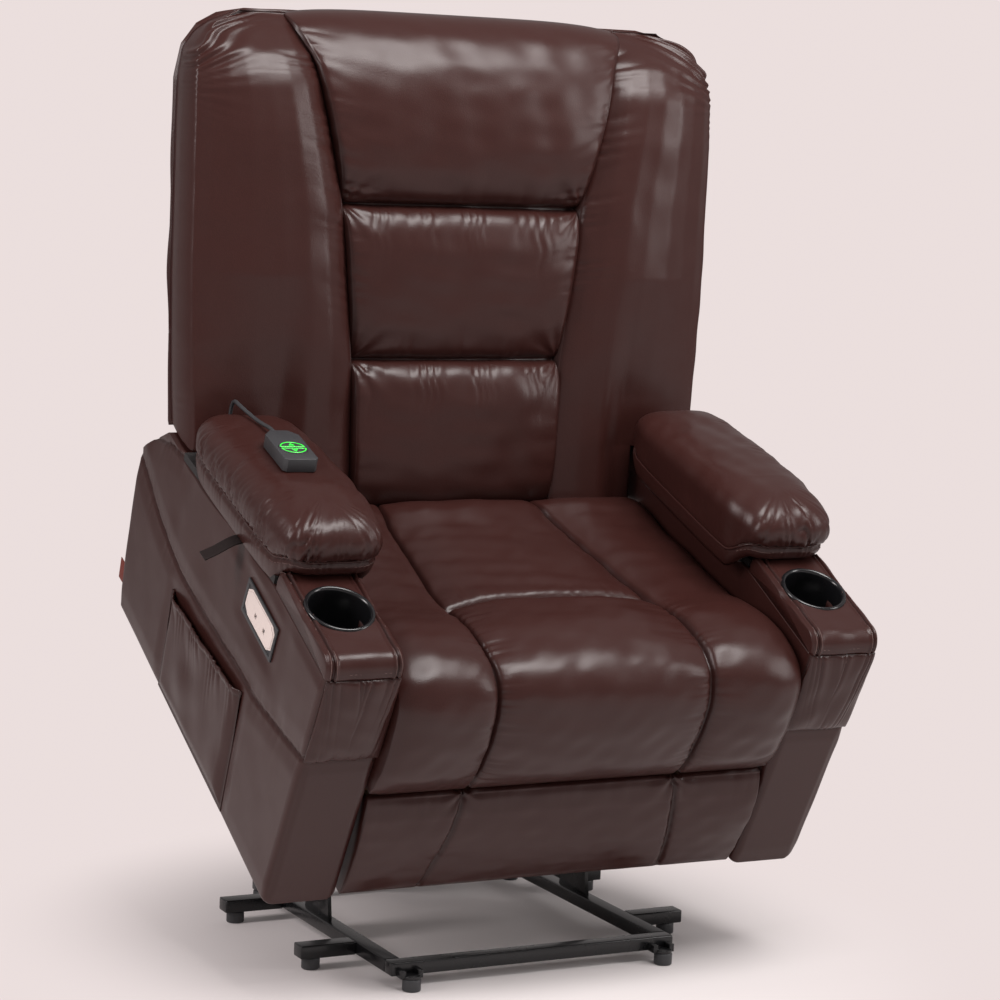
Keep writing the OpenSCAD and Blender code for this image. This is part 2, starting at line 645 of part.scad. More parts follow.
// Side roundness of the section at angle a: flat foot, full sides and a crowned top.
function pad_ring(s, grow, lift) =
    let (y = lid_len - 6 - s * (lid_len - 6 + pad_nose),
        w = (pad_out - pad_in) / 2 * pad_width(s) * grow,
        h = pad_height(s) * (0.55 + 0.45 * grow) - lift, c = (pad_out + pad_in) / 2)
    [for (k = [0:19]) let (a = 360 * k / 20,
        cx = sign(cos(a)) * pow(abs(cos(a)), 0.62), sz = sign(sin(a)) * pow(abs(sin(a)), 0.7))
        [c + w * cx, y, pad_base + lift + h / 2 * (1 + sz)]];
pad_stations = [[0, 0.80, 12], [0.012, 0.92, 4], [0.04, 0.985, 0], [0.14, 1, 0], [0.26, 1, 0],
    [0.38, 1, 0], [0.5, 1, 0], [0.62, 1, 0], [0.74, 1, 0], [0.86, 1, 0]];
nose_stations = [[0.925, 1, 4], [0.955, 0.98, 20], [0.98, 0.93, 28], [0.994, 0.84, 36], [1, 0.68, 44]];
module arm_pad() color(leather) on_rim()
    skin([for (q = concat(pad_stations, nose_stations)) pad_ring(q[0], q[1], q[2])], true);
module arm_pad_left() in_chair() mirror([1, 0, 0]) arm_pad();
module arm_pad_right() in_chair() arm_pad();

tab_y = 118;
tab_w = 25;
tab_l = 58;
module pull_tab() color([0.12, 0.06, 0.05]) on_rim()
    translate([arm_out + 6, tab_y, 3]) rotate([0, 26, 0])
        translate([0, 0, -1.6]) cube([tab_l, tab_w, 3.2]);
module tab_root() color([0.12, 0.06, 0.05]) on_rim()
    translate([arm_out + seat_gap, tab_y, 2.2]) cube([7, tab_w, 3]);
module pull_tab_left() in_chair() mirror([1, 0, 0]) {
    pull_tab();
    tab_root();
}
module pull_tab_right() in_chair() {
    pull_tab();
    tab_root();
}

// ---- Handset ----

handset_y = 168;
crown_s = (lid_len - 6 - handset_y) / (lid_len - 6 + pad_nose);
crown_slope = atan((pad_h - pad_height(0.35)) / (0.4 * (lid_len - 6 + pad_nose)));
// Middle of the handset's underside, in the lid's frame, on the pad's crown
handset_at = [cup_x - 9, handset_y, pad_base + pad_height(crown_s) + 0.5];
module on_handset() in_chair() mirror([1, 0, 0]) on_rim()
    translate(handset_at) rotate([-crown_slope, 0, 0]) rotate([0, 0, 3]) children();
button_r = 21;
button_y = -12;
module button_half(grow) intersection() {
    circle(button_r + grow);
    translate([-button_r - 2, 1.2 - grow]) square([2 * button_r + 4, button_r + 4]);
}
handset_half = handset_w / 2;
handset_end = handset_l / 2;
handset_outline = [[-handset_half + 5, -handset_end], [handset_half - 5, -handset_end],
    [handset_half, -handset_end + 6], [handset_half, handset_end - 16], [handset_half - 12, handset_end],
    [-handset_half + 12, handset_end], [-handset_half, handset_end - 16], [-handset_half, -handset_end + 6]];
module handset_body() color(plastic) on_handset() difference() {
    union() {
        linear_extrude(handset_t) polygon(handset_outline);
        translate([0, handset_l / 2, handset_t / 2]) rotate([-90, 0, 0]) cylinder(h = 14, r1 = 8, r2 = 4.5);
    }
    for (a = [0, 180]) translate([0, button_y, handset_t - 4]) rotate([0, 0, a])
        linear_extrude(6) button_half(seat_gap);
}
module handset_button(turned) color([0.1, 0.75, 0.2]) on_handset()
    translate([0, button_y, handset_t - 2.6]) rotate([0, 0, turned]) linear_extrude(3.6) button_half(0);
module button_up() handset_button(0);
module button_down() handset_button(180);

// Handset cord: along the pad, over its rear end and down into the gland, in the lid's frame.
gland = [cup_x - 8, post_front_y + 11, rim_at(post_front_y) + 13];
function to_rim(p) = turn(p - [lid_front, rim_z], lid_slope);
function in_gland(z) = let (p = to_rim([gland.y, gland.z + z])) [gland.x, p.x, p.y];
cord_route = [[380, 237, 122], [379, 255, 120.5], [381, 290, 112], [384, 330, 108], [386, 362, 105.5],
    [386, 382, 104], [385.5, 391, 92], [385, 390, 68], [384.6, 390, 42], in_gland(15), in_gland(-4)];
function unit(v) = v / norm(v);
function tangent(path, i) = unit(path[min(len(path) - 1, i + 1)] - path[max(0, i - 1)]);
function cord_ring(path, i, r, sides) =
    let (t = tangent(path, i), u = unit(cross(t, [1, 0, 0])), v = cross(t, u), step = 360 / sides)
    [for (k = [0:sides - 1]) path[i] + r * (cos(k * step) * u + sin(k * step) * v)];
function smooth_once(p) = [for (i = [0:len(p) - 2]) each
    (i == 0 ? [p[0], 0.25 * p[0] + 0.75 * p[1]] :
     i == len(p) - 2 ? [0.75 * p[i] + 0.25 * p[i + 1], p[i + 1]] :
     [0.75 * p[i] + 0.25 * p[i + 1], 0.25 * p[i] + 0.75 * p[i + 1]])];
cord_path = smooth_once(cord_route);
module handset_cord() color(plastic) in_chair() mirror([1, 0, 0]) on_rim()
    skin([for (i = [0:len(cord_path) - 1]) cord_ring(cord_path, i, cord_d / 2, 8)], true);

// ---- Back ----

// Frame of the back: y square to its front seams towards the rear, z up along it.
back_foot = [566, 314];
module on_back() in_chair() translate([0, back_foot.x, back_foot.y]) rotate([-back_lean, 0, 0]) children();
function to_back(p) = turn(p - back_foot, back_lean);
hinge_in_back = to_back(back_hinge);

lower_crease = 209;
upper_crease = 449;
// Height in the back's top part: 0 at the upper crease, 1 at the top edge
function up_top(share) = upper_crease + share * (back_h - upper_crease);
seam_stops = [[0, 176], [lower_crease, 181], [upper_crease, 207], [up_top(0.375), 232],
    [up_top(0.713), 256], [back_h, 290]];
function seam_at(v) = along(seam_stops, v);
cushion_seams = [0, lower_crease, upper_crease, back_h];
// Front line of the middle cushion: [height, forward crown from 0 to 1]
lobe_shape = [[0, 0], [0.06, 0.42], [0.2, 0.82], [0.42, 1], [0.65, 0.92], [0.85, 0.62], [0.95, 0.32]];
back_rest_y = back_depth - 40;                  // the cushion's rear, on the back's frame
frame_top = back_h - 60;
top_shape = [[upper_crease, 0], [up_top(0.044), 0.5], [up_top(0.155), 0.95], [up_top(0.375), 1.15],
    [up_top(0.544), 1.1], [up_top(0.713), 0.75], [frame_top - 1, 0.33], [frame_top + 1, 0.3],
    [up_top(0.848), 0.05], [up_top(0.932), -0.9], [up_top(0.983), -1.7], [back_h, -2.3]];
function cushion_line() = concat(
    [for (k = [0:1], q = lobe_shape)
        [cushion_seams[k] + q[0] * (cushion_seams[k + 1] - cushion_seams[k]), q[1]]],
    top_shape);
function cushion_ring(q) =
    let (v = q[0], half = seam_at(v) - seat_gap / 2,
        rear = v < frame_top ? back_rest_y : back_depth - seat_gap)
    concat(
        [for (u = [-1, -0.96, -0.82, -0.6, -0.3, 0, 0.3, 0.6, 0.82, 0.96, 1])
            [u * half, 4 - q[1] * back_crown * (q[1] > 0 ? lobe(u * 0.97) : 1), v]],
        [for (u = [1, 0, -1]) [u * half, rear, v]]);
module back_cushion() color(leather) on_back() skin([for (q = cushion_line()) cushion_ring(q)], true);

// Wing: rings up the back, from the middle seam round the front and out to the rear panel.
wing_low = 100;
wing_stations = [[-6, 326, 0.2, 0], [40, 326, 0.25, 0], [wing_low - 0.5, 326, 0.3, 0],
    [wing_low, 444, 0.05, 0], [150, 447, 0.25, 0], [230, 450, 0.75, 0], [330, back_half_w, 1, 0],
    [upper_crease + 1, back_half_w, 1.05, 0], [up_top(0.375), back_half_w, 1, 0],
    [up_top(0.6115), back_half_w - 1, 0.8, 3], [up_top(0.7635), back_half_w - 10, 0.45, 14],
    [up_top(0.865), back_half_w - 32, 0.05, 30], [up_top(0.9324), back_half_w - 62, -0.1, 46],
    [up_top(0.963), back_half_w - 92, -0.1, 60]];
wing_shape = [[0, -0.02], [0.05, 0.3], [0.16, 0.72], [0.3, 0.97], [0.46, 1], [0.62, 0.86],
    [0.78, 0.52], [0.9, 0.1]];
function wing_ring(q) =
    let (v = q[0], outer = q[1], bulge = q[2] * wing_crown, back = q[3],
        inner = seam_at(v) + seat_gap / 2, w = outer - inner)
    concat(
        [for (p = wing_shape) [inner + p[0] * w, 4 + back - p[1] * bulge, v]],
        [[outer - 8, 12 + back, v], [outer, 30 + back * 0.7, v], [outer, 58 + back * 0.3, v],
            [outer - 3, back_depth - seat_gap, v], [(outer + inner) / 2, back_depth - seat_gap, v],
            [inner + 1, back_depth - seat_gap, v],
            [inner, 52 + back * 0.4, v]]);
module wing() color(leather) skin([for (q = wing_stations) wing_ring(q)], true);
module wing_right() on_back() wing();
module wing_left() on_back() mirror([1, 0, 0]) wing();

panel_side = [[326, -22], [326, wing_low], [444, wing_low], [back_half_w, 330],
    [back_half_w, up_top(0.6115)], [back_half_w - 10, up_top(0.78)], [back_half_w - 34, up_top(0.8885)],
    [back_half_w - 66, up_top(0.9495)], [back_half_w - 110, up_top(0.9765)]];
panel_last = len(panel_side) - 1;
panel_outline = concat(panel_side,
    [for (i = [panel_last:-1:0]) [-panel_side[i].x, panel_side[i].y]]);
module back_panel() color(leather) on_back()
    translate([0, back_depth + 14, 0]) rotate([90, 0, 0]) linear_extrude(14) polygon(panel_outline);

back_post_x = 127;
post_w = 24;
back_frame_t = back_depth - back_rest_y - 1;
back_frame_low = -28;
back_frame_h = frame_top - 5 - back_frame_low;
back_rails = [0, back_frame_h / 2 + 4, back_frame_h - post_w];
module back_frame() color(wood) on_back() translate([0, back_rest_y + seat_gap, back_frame_low]) {
    both() translate([back_post_x, 0, 0]) cube([post_w, back_frame_t, back_frame_h]);
    for (v = back_rails) translate([-back_post_x + seat_gap, 0, v])
        cube([2 * (back_post_x - seat_gap), back_frame_t, post_w]);
}

// Steel brackets carry the back from its frame's feet down to the hinge pins.
bracket_layer = frame_layer - plate_t - 1;
bracket_top = -6 - seat_gap;                    // just under the wings
module back_brackets() color(steel) on_back() {
    both() slab(bracket_layer, plate_t) difference() {
        union() {
            translate(hinge_in_back) circle(16);
            polygon([hinge_in_back + [-15.9, -1], [back_depth - seat_gap, hinge_in_back.y - 5],
                [back_depth - seat_gap, bracket_top], [40, bracket_top - 2]]);
        }
        translate(hinge_in_back) circle(pin_r + pin_gap);
    }
}

// ---- Footrest ----

module foot_links_lower() color(steel) in_chair() both() slab(lower_layer, plate_t) difference() {
    link_outline(foot_pivot, knee, 11);
    for (p = [foot_pivot, knee]) translate(p) circle(pin_r + pin_gap);
}

module foot_links_upper() color(steel) in_chair() both() slab(upper_layer, plate_t) difference() {
    link_outline(foot_pivot, knee, 11);
    for (p = [foot_pivot, knee]) translate(p) circle(pin_r + pin_gap);
}

// Knee pins turn with the lower links.
module foot_link_pins() color([0.7, 0.7, 0.72]) in_chair() both()
    rod_x(knee, pin_r, lower_layer - 0.5, upper_layer + plate_t);

ottoman_y = 24;
ottoman_board_t = 12;
ottoman_low = 6;
ottoman_half = arm_in - 6;
module ottoman_board() color(wood) in_chair() {
    translate([-ottoman_half + 6, ottoman_y + seat_gap, ottoman_low + 4])
        cube([2 * ottoman_half - 12, ottoman_board_t, ottoman_z - ottoman_low - 8]);
    both() {
        slab(ottoman_layer, plate_t) difference() {
            union() {
                polygon([[ottoman_y + ottoman_board_t, 96], [ottoman_y + ottoman_board_t, foot_pivot_z + 10],
                    foot_pivot + [0, 11], foot_pivot + [6, -9]]);
                translate(foot_pivot) circle(11);
            }
            translate(foot_pivot) circle(pin_r - 0.1);
        }
        rod_x(foot_pivot, pin_r, upper_layer - 0.4, ottoman_layer + plate_t);
    }
}

ottoman_seams = [[0, 204], [1, 176]];
// Front line of the footrest: [y, share of the crown], from its bottom edge up
ottoman_line = [[2, 0], [-2, 0.35], [-8, 0.75], [-12, 1], [-12, 1], [-9, 0.8], [-3, 0.45], [3, 0]];
ottoman_vs = [0, 0.05, 0.2, 0.42, 0.62, 0.82, 0.95, 1];
function ottoman_ring(t) = concat(
    [for (k = [0:7])
        let (v = ottoman_vs[k], seam = along(ottoman_seams, v), column = abs(t) < 1,
            x = column ? t * seam : sign(t) * (seam + (abs(t) - 1) * (ottoman_half - seam)),
            inner = column ? t : (abs(t) - 1) * 2 - 1, f = ottoman_line[k])
        [x, f.x + 4 * (1 - 2 * lobe(inner)) * f.y, ottoman_low + v * (ottoman_z - ottoman_low)]],
    [for (v = [1, 0.5, 0]) let (seam = along(ottoman_seams, v), column = abs(t) < 1)
        [column ? t * seam : sign(t) * (seam + (abs(t) - 1) * (ottoman_half - seam)), ottoman_y,
            ottoman_low + v * (ottoman_z - ottoman_low)]]);
module ottoman_pad() color(leather) in_chair()
    skin([for (t = [-2, -1.93, -1.75, -1.5, -1.25, -1.07, -1, -0.95, -0.8, -0.5, 0,
        0.5, 0.8, 0.95, 1, 1.07, 1.25, 1.5, 1.75, 1.93, 2]) ottoman_ring(t)]);

base_rails();
base_front_bar();
base_rear_bar();
outriggers();
glide_feet();
foot_brackets();
lift_posts();
motor_bracket();
lift_arms();
torque_tube();
drive_crank();
tilt_pins();
motor_housing();
motor_tube();
motor_rod();
frame_plates();
frame_tubes();
seat_frame();
seat_springs();
seat_cushion();
control_box();
power_inlet();
frame_pins();
arm_shell_left();
arm_shell_right();
console_cap_left();
console_cap_right();
storage_bins();
cup_holders();
side_pockets();
front_pouches();
lid_hinges();
usb_plate();
maker_tag();
cord_gland();
lid_board_left();
lid_leaf_left();
arm_pad_left();
pull_tab_left();
lid_board_right();
lid_leaf_right();
arm_pad_right();
pull_tab_right();
handset_body();
button_up();
button_down();
handset_cord();
back_frame();
back_panel();
back_cushion();
wing_left();
wing_right();
back_brackets();
foot_links_lower();
foot_links_upper();
foot_link_pins();
ottoman_board();
ottoman_pad();
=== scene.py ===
import math

import bmesh
import bpy
import numpy as np
from mathutils import Matrix, Vector


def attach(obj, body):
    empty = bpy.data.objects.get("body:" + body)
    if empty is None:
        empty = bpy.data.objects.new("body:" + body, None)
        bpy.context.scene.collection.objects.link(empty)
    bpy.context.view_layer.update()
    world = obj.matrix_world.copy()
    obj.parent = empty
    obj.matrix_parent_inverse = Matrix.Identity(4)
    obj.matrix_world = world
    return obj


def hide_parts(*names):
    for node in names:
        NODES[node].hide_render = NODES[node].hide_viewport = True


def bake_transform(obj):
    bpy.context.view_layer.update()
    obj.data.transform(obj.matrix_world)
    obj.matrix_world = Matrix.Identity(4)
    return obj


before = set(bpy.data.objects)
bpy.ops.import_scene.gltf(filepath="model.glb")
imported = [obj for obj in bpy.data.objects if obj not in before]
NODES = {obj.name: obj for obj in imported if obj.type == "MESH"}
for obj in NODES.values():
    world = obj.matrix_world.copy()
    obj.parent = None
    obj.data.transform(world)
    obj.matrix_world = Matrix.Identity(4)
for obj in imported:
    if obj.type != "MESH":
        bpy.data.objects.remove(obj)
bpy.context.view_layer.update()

# ---- Frames of the chair, in millimetres, and the way back to the part's metres ----

LIFT = math.radians(28.4)  # the raised chair's tip forwards
LEAN = math.radians(28)  # the back's lean in the chair
FALL = math.radians(8)  # the slope of the arm lids
CHAIR_Y, CHAIR_Z = -213.9, 144.5  # each frame's origin in the one that holds it
BACK_Y, BACK_Z = 566, 314
RIM_Y, RIM_Z = 215, 412.0
ARM_IN, ARM_OUT = 335.0, 450.0
CUP_X, CUP_Y = 392.5, 118.0
MIRROR = np.array([-1, 1, 1])


def turned(a, b, angle):
    return a * math.cos(angle) - b * math.sin(angle), a * math.sin(angle) + b * math.cos(angle)


def out_of(points, angle, back, up):
    """Points of a frame that is turned about x and then moved back and up."""
    x, y, z = np.moveaxis(np.asarray(points, float), -1, 0)
    y, z = turned(y, z, angle)
    return np.stack([x, y + back, z + up], -1)


def from_chair(points):
    """Points of the chair's own frame, whose y runs back from the arms' front face."""
    return out_of(points, LIFT, CHAIR_Y, CHAIR_Z) / 1000


def from_back(points):
    """Points of the back's frame: y square to its front seams, z up along it."""
    return from_chair(out_of(points, -LEAN, BACK_Y, BACK_Z))


def from_rim(points):
    """Points of the arm lid's frame: y down its slope, z square to the rim."""
    return from_chair(out_of(points, -FALL, RIM_Y, RIM_Z))


# ---- Camera and lamps ----

CAMERA_AT = (-2.1020, -4.0776, 1.2701)
YAW, PITCH, ROLL = (math.radians(a) for a in (-27.48, -7.16, 2.36))
LENS, FILM_WIDTH = 107.9, 36


def place_camera():
    ahead = Vector((-math.sin(YAW) * math.cos(PITCH), math.cos(YAW) * math.cos(PITCH), math.sin(PITCH)))
    level = Vector((math.cos(YAW), math.sin(YAW), 0))
    upright = level.cross(ahead)
    right = level * math.cos(ROLL) + upright * math.sin(ROLL)
    up = upright * math.cos(ROLL) - level * math.sin(ROLL)
    data = bpy.data.cameras.new("camera")
    data.sensor_width, data.lens, data.clip_end = FILM_WIDTH, LENS, 60
    camera = bpy.data.objects.new("camera", data)
    bpy.context.scene.collection.objects.link(camera)
    camera.matrix_world = Matrix.Translation(CAMERA_AT) @ Matrix((right, up, -ahead)).transposed().to_4x4()
    bpy.context.scene.camera = camera


def area_lamp(name, place, target, size, watts, colour):
    data = bpy.data.lights.new(name, "AREA")
    data.shape = "RECTANGLE"
    data.size, data.size_y = size
    data.energy = watts
    data.color = colour
    lamp = bpy.data.objects.new(name, data)
    bpy.context.scene.collection.objects.link(lamp)
    lamp.location = place
    lamp.rotation_euler = (Vector(target) - Vector(place)).to_track_quat("-Z", "Y").to_euler()


place_camera()
area_lamp("softbox_above", (0.4, -1.5, 3.4), (0, 0.0, 0.7), (2.2, 1.2), 120, (1.0, 0.97, 0.96))
area_lamp("softbox_left", (-3.0, -0.1, 2.3), (0, 0.1, 0.8), (0.9, 2.0), 62, (1.0, 0.93, 0.93))
area_lamp("softbox_right", (2.8, -2.0, 1.9), (0.2, 0, 0.6), (0.8, 1.8), 34, (1.0, 0.96, 0.95))

# ---- Small tools for shapes ----


def wave_noise(seed, *coords, size=100.0, octaves=7):
    """Smooth deterministic noise from -1 to 1 whose patches are about size across."""
    draw = np.random.RandomState(seed)
    total = 0.0
    for _ in range(octaves):
        direction = draw.normal(size=len(coords))
        direction *= draw.uniform(0.7, 1.4) * 2 * math.pi / size / np.linalg.norm(direction)
        total = total + np.sin(sum(d * c for d, c in zip(direction, coords)) + draw.uniform(0, 2 * math.pi))
    return total / math.sqrt(octaves) / 1.4


def gathers(away, along, seed, reach=40.0, pitch=20.0, slant=0.0):
    """Puckers that run square off a seam: away is the distance from it and along the place on it."""
    phase = (along + slant * away) / pitch + 0.75 * wave_noise(seed, along, size=pitch * 4)
    ridge = np.abs(np.sin(math.pi * phase)) ** 0.75 - 0.62
    far = reach * (1 + 0.55 * wave_noise(seed + 1, along, size=pitch * 3))
    strength = 0.7 + 0.4 * wave_noise(seed + 2, along, size=90.0)
    return ridge * strength * np.exp(-(np.maximum(away, 0) / far) ** 1.4)


def groove(distance, width):
    """1 on a seam, falling to 0 at about twice the width from it."""
    return np.exp(-(distance / width) ** 2)


def lobe(t, power=2.6):
    """A full crown, from 0 at -1 through 1 in the middle to 0 at 1."""
    return np.sqrt(np.clip(1 - np.abs(t) ** power, 0, 1))


def smooth(t):
    t = np.clip(t, 0, 1)
    return t * t * (3 - 2 * t)


def eased(t, share):
    """Places from -1 to 1, drawn towards both ends by the share."""
    return share * np.sin(t * math.pi / 2) + (1 - share) * t


def read_off(at, table, column=1):
    """Reads a column of a table of stops, whose first column is the place."""
    stops = np.array(table, float)
    return np.interp(at, stops[:, 0], stops[:, column])


def blurred(values, width):
    """Values softened along their row over about the width on each side."""
    kernel = np.hanning(width * 2 + 1)
    padded = np.pad(values, width, mode="edge")
    return np.convolve(padded, kernel / kernel.sum(), mode="valid")


def row(*values):
    return np.array([values], float)


def sheet(*coords):
    """Points from coordinates that each run along the rows, the columns or both."""
    return np.stack(np.broadcast_arrays(*coords), -1)


def unit(vectors):
    return vectors / np.maximum(np.linalg.norm(vectors, axis=-1, keepdims=True), 1e-9)


def run_along(line):
    """Distance along a line at each of its points."""
    return np.r_[0, np.cumsum(np.linalg.norm(np.diff(line, axis=0), axis=1))]


def evenly(line, count):
    """The line again with evenly spaced points."""
    run = run_along(line)
    at = np.linspace(0, run[-1], count)
    return np.stack([np.interp(at, run, line[:, k]) for k in range(line.shape[1])], -1)


def curve_through(stops, count):
    """Smooth line with evenly spaced points through the stops."""
    p = np.array(stops, float)
    p = np.vstack([2 * p[0] - p[1], p, 2 * p[-1] - p[-2]])
    line = []
    for i in range(1, len(p) - 2):
        for t in np.linspace(0, 1, 24, endpoint=False):
            a, b, c, d = p[i - 1:i + 3]
            line.append(0.5 * (2 * b + (c - a) * t + (2 * a - 5 * b + 4 * c - d) * t * t
                               + (3 * b - a - 3 * c + d) * t ** 3))
    return evenly(np.array(line + [p[-2]]), count)


def corners_cut(route):
    """The route with its corners cut and its two ends kept."""
    near, far = route[:-1], route[1:]
    cut = np.stack([0.75 * near + 0.25 * far, 0.25 * near + 0.75 * far], 1).reshape(-1, 3)
    cut[0], cut[-1] = route[0], route[-1]
    return cut


def three_columns(side_count, easing, half, seam):
    """Places across a cushion sewn in three columns: -1 to 1 in each, the column's side, and x."""
    outer, middle = np.linspace(-1, 1, side_count), np.linspace(-1, 1, 81)
    t = eased(np.concatenate([outer[:-1], middle[:-1], outer]), easing)[:, None]
    side = np.repeat([-1, 0, 1], [side_count - 1, len(middle) - 1, side_count])[:, None]
    past = (t + 1) / 2 * (half - seam)
    x = np.where(side == 0, t * seam, np.where(side < 0, past - half, past + seam))
    return t, side, x


def grid_normals(grid):
    """Outward directions at the points of rings that close round."""
    along = np.gradient(grid, axis=0)
    across = np.roll(grid, -1, 1) - np.roll(grid, 1, 1)
    normal = unit(np.cross(along, across))
    return -normal if ((grid - grid.mean((0, 1))) * normal).sum() < 0 else normal


def grid_mesh(name, grid, crease=0.0, ends=(0, -1), mirrored=False):
    """Closed skin over rings of points: grid[ring][point], closed round each ring and at its ends."""
    rings, count = grid.shape[:2]
    points = [grid.reshape(-1, 3)]
    marks = [np.broadcast_to(crease, (rings, count)).ravel()]
    first = np.arange(rings - 1)[:, None] * count
    a, b = first + np.arange(count), first + (np.arange(count) + 1) % count
    faces = np.stack([a, b, b + count, a + count], -1).reshape(-1, 4).tolist()
    for end in ends:
        centre = sum(len(p) for p in points)
        points.append(grid[end].mean(0)[None])
        marks.append(np.zeros(1))
        start = 0 if end == 0 else (rings - 1) * count
        faces += [[centre, start + (j + 1) % count, start + j] for j in range(count)]
    vertices = np.vstack(points) * (MIRROR if mirrored else 1)
    mesh = bpy.data.meshes.new(name)
    mesh.from_pydata(vertices.tolist(), [], faces)
    # the crease mark tells the leather where to darken as painted shade
    mark = mesh.attributes.new("crease", "FLOAT", "POINT")
    mark.data.foreach_set("value", np.concatenate(marks).astype(np.float32))
    return finished(name, mesh)


def push(points, out):
    """Points of a closed form, pushed out along its normals by millimetres."""
    return points + grid_normals(points) * (out / 1000)[..., None]


def cover(name, points, out, crease, mirrored=False):
    """A closed form pushed out by millimetres; the columns past out's own are hidden and stay."""
    hidden = ((0, 0), (0, points.shape[1] - out.shape[1]))
    crease = np.pad(np.broadcast_to(crease, out.shape), hidden)
    return grid_mesh(name, push(points, np.pad(out, hidden)), crease, mirrored=mirrored)


def finished(name, mesh):
    """Merges the mesh, turns its faces outwards, smooths it and puts it in the scene."""
    work = bmesh.new()
    work.from_mesh(mesh)
    bmesh.ops.remove_doubles(work, verts=work.verts, dist=2e-6)
    bmesh.ops.recalc_face_normals(work, faces=work.faces)
    work.to_mesh(mesh)
    work.free()
    mesh.polygons.foreach_set("use_smooth", [True] * len(mesh.polygons))
    mesh.update()
    piece = bpy.data.objects.new(name, mesh)
    bpy.context.scene.collection.objects.link(piece)
    return piece


def tube_rings(path, radius, sides):
    """Rings of a round cord along a path of points, in the path's own units."""
    tangent = unit(np.gradient(np.asarray(path, float), axis=0))
    side = unit(np.cross(tangent, [0.31, 0.13, 0.94]))
    other = np.cross(tangent, side)
    turn = np.linspace(0, 2 * math.pi, sides, endpoint=False)[None, :, None]
    return path[:, None] + radius * (np.cos(turn) * side[:, None] + np.sin(turn) * other[:, None])


# ---- Small tools for Blender's own modelling ----


def select_only(piece):
    bpy.ops.object.select_all(action="DESELECT")
    piece.select_set(True)
    bpy.context.view_layer.objects.active = piece


def select_parts(piece, faces=None, edges=None):
    """In edit mode, selects the faces whose normal, or the edges whose ends, pass the test."""
    bpy.ops.mesh.select_all(action="DESELECT")
    work = bmesh.from_edit_mesh(piece.data)
    for face in work.faces if faces else ():
        face.select_set(faces(face.normal))
    for edge in work.edges if edges else ():
        edge.select_set(edges(edge.verts[0].co, edge.verts[1].co))
    work.select_flush(True)
    bmesh.update_edit_mesh(piece.data)


def joined(name, pieces):
    """One piece from several."""
    select_only(pieces[0])
    for piece in pieces:
        piece.select_set(True)
    bpy.ops.object.join()
    pieces[0].name = name
    return pieces[0]


def apply_modifier(piece, kind, **settings):
    """Adds a modifier with its settings and applies it."""
    select_only(piece)
    modifier = piece.modifiers.new(kind.lower(), kind)
    for key, value in settings.items():
        setattr(modifier, key, value)
    bpy.ops.object.modifier_apply(modifier=modifier.name)


def normals_outwards():
    bpy.ops.object.mode_set(mode="EDIT")
    bpy.ops.mesh.select_all(action="SELECT")
    bpy.ops.mesh.normals_make_consistent(inside=False)
    bpy.ops.object.mode_set(mode="OBJECT")


def placed(piece, points):
    """Moves a piece's vertices to the points, in metres, and turns its faces outwards."""
    piece.data.vertices.foreach_set("co", points.ravel())
    piece.data.update()
    select_only(piece)
    normals_outwards()


def vertices_of(piece):
    return np.array([v.co for v in piece.data.vertices])


def dressed(piece, material):
    piece.data.materials.clear()
    piece.data.materials.append(material)
    return piece


def both_sides(make):
    """Makes the left piece, which is the mirror image, and then the right one."""
    return [make("left", True), make("right", False)]


def stitch_shape():
    """One thread stitch with drawn-in ends, lying along x."""
    bpy.ops.object.select_all(action="DESELECT")
    bpy.ops.mesh.primitive_cylinder_add(vertices=6, radius=0.5, depth=0.62, end_fill_type="NGON",
                                        rotation=(0, math.pi / 2, 0))
    bpy.ops.object.transform_apply(rotation=True)
    pattern = bpy.context.object
    bpy.ops.object.mode_set(mode="EDIT")
    bpy.ops.mesh.select_all(action="DESELECT")
    work = bmesh.from_edit_mesh(pattern.data)
    for face in work.faces:
        face.select = abs(face.normal.x) > 0.9
    bmesh.update_edit_mesh(pattern.data)
    bpy.ops.mesh.extrude_region_shrink_fatten(TRANSFORM_OT_shrink_fatten={"value": 0.19})
    bpy.ops.transform.resize(value=(1, 0.35, 0.35))
    bpy.ops.object.mode_set(mode="OBJECT")
    points, faces = vertices_of(pattern), [list(f.vertices) for f in pattern.data.polygons]
    bpy.data.objects.remove(pattern)
    return points, faces


STITCH_POINTS, STITCH_FACES = stitch_shape()
STITCH_WIDTH = 0.9


def stitches(name, lines, body, length, pitch):
    """A row of thread stitches along each pair of a line and its outward directions, in metres."""
    vertices, faces = [], []
    for line, outward in lines:
        count = max(2, int(run_along(line)[-1] * 1000 / pitch))
        mids = evenly(np.hstack([line, outward]), count)
        ahead, up = unit(np.gradient(mids[:, :3], axis=0)), unit(mids[:, 3:])
        side = np.cross(ahead, up)
        for m, d, u, w in zip(mids[:, :3] + up * 0.0002, ahead, up, side):
            faces += [[len(vertices) + k for k in face] for face in STITCH_FACES]
            vertices += [tuple(m + (d * length * q[0] + (w * q[1] + u * q[2]) * STITCH_WIDTH) / 1000)
                         for q in STITCH_POINTS]
    mesh = bpy.data.meshes.new(name)
    mesh.from_pydata(vertices, [], faces)
    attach(dressed(finished(name, mesh), THREAD), body)


# ---- Effects that several finishes share ----


def plug(tree, socket, value):
    """Feeds a socket from another node's output, or sets it to a plain value."""
    if isinstance(value, bpy.types.NodeSocket):
        tree.links.new(value, socket)
    else:
        socket.default_value = value


def node(tree, kind, values=None, **settings):
    """A new node with its settings, and its sockets fed or set by name or number."""
    made = tree.nodes.new(kind)
    for key, value in settings.items():
        setattr(made, key, value)
    for where, value in (values or {}).items():
        plug(tree, made.inputs[where], value)
    return made


def maths(tree, operation, *values):
    return node(tree, "ShaderNodeMath", dict(enumerate(values)), operation=operation).outputs[0]


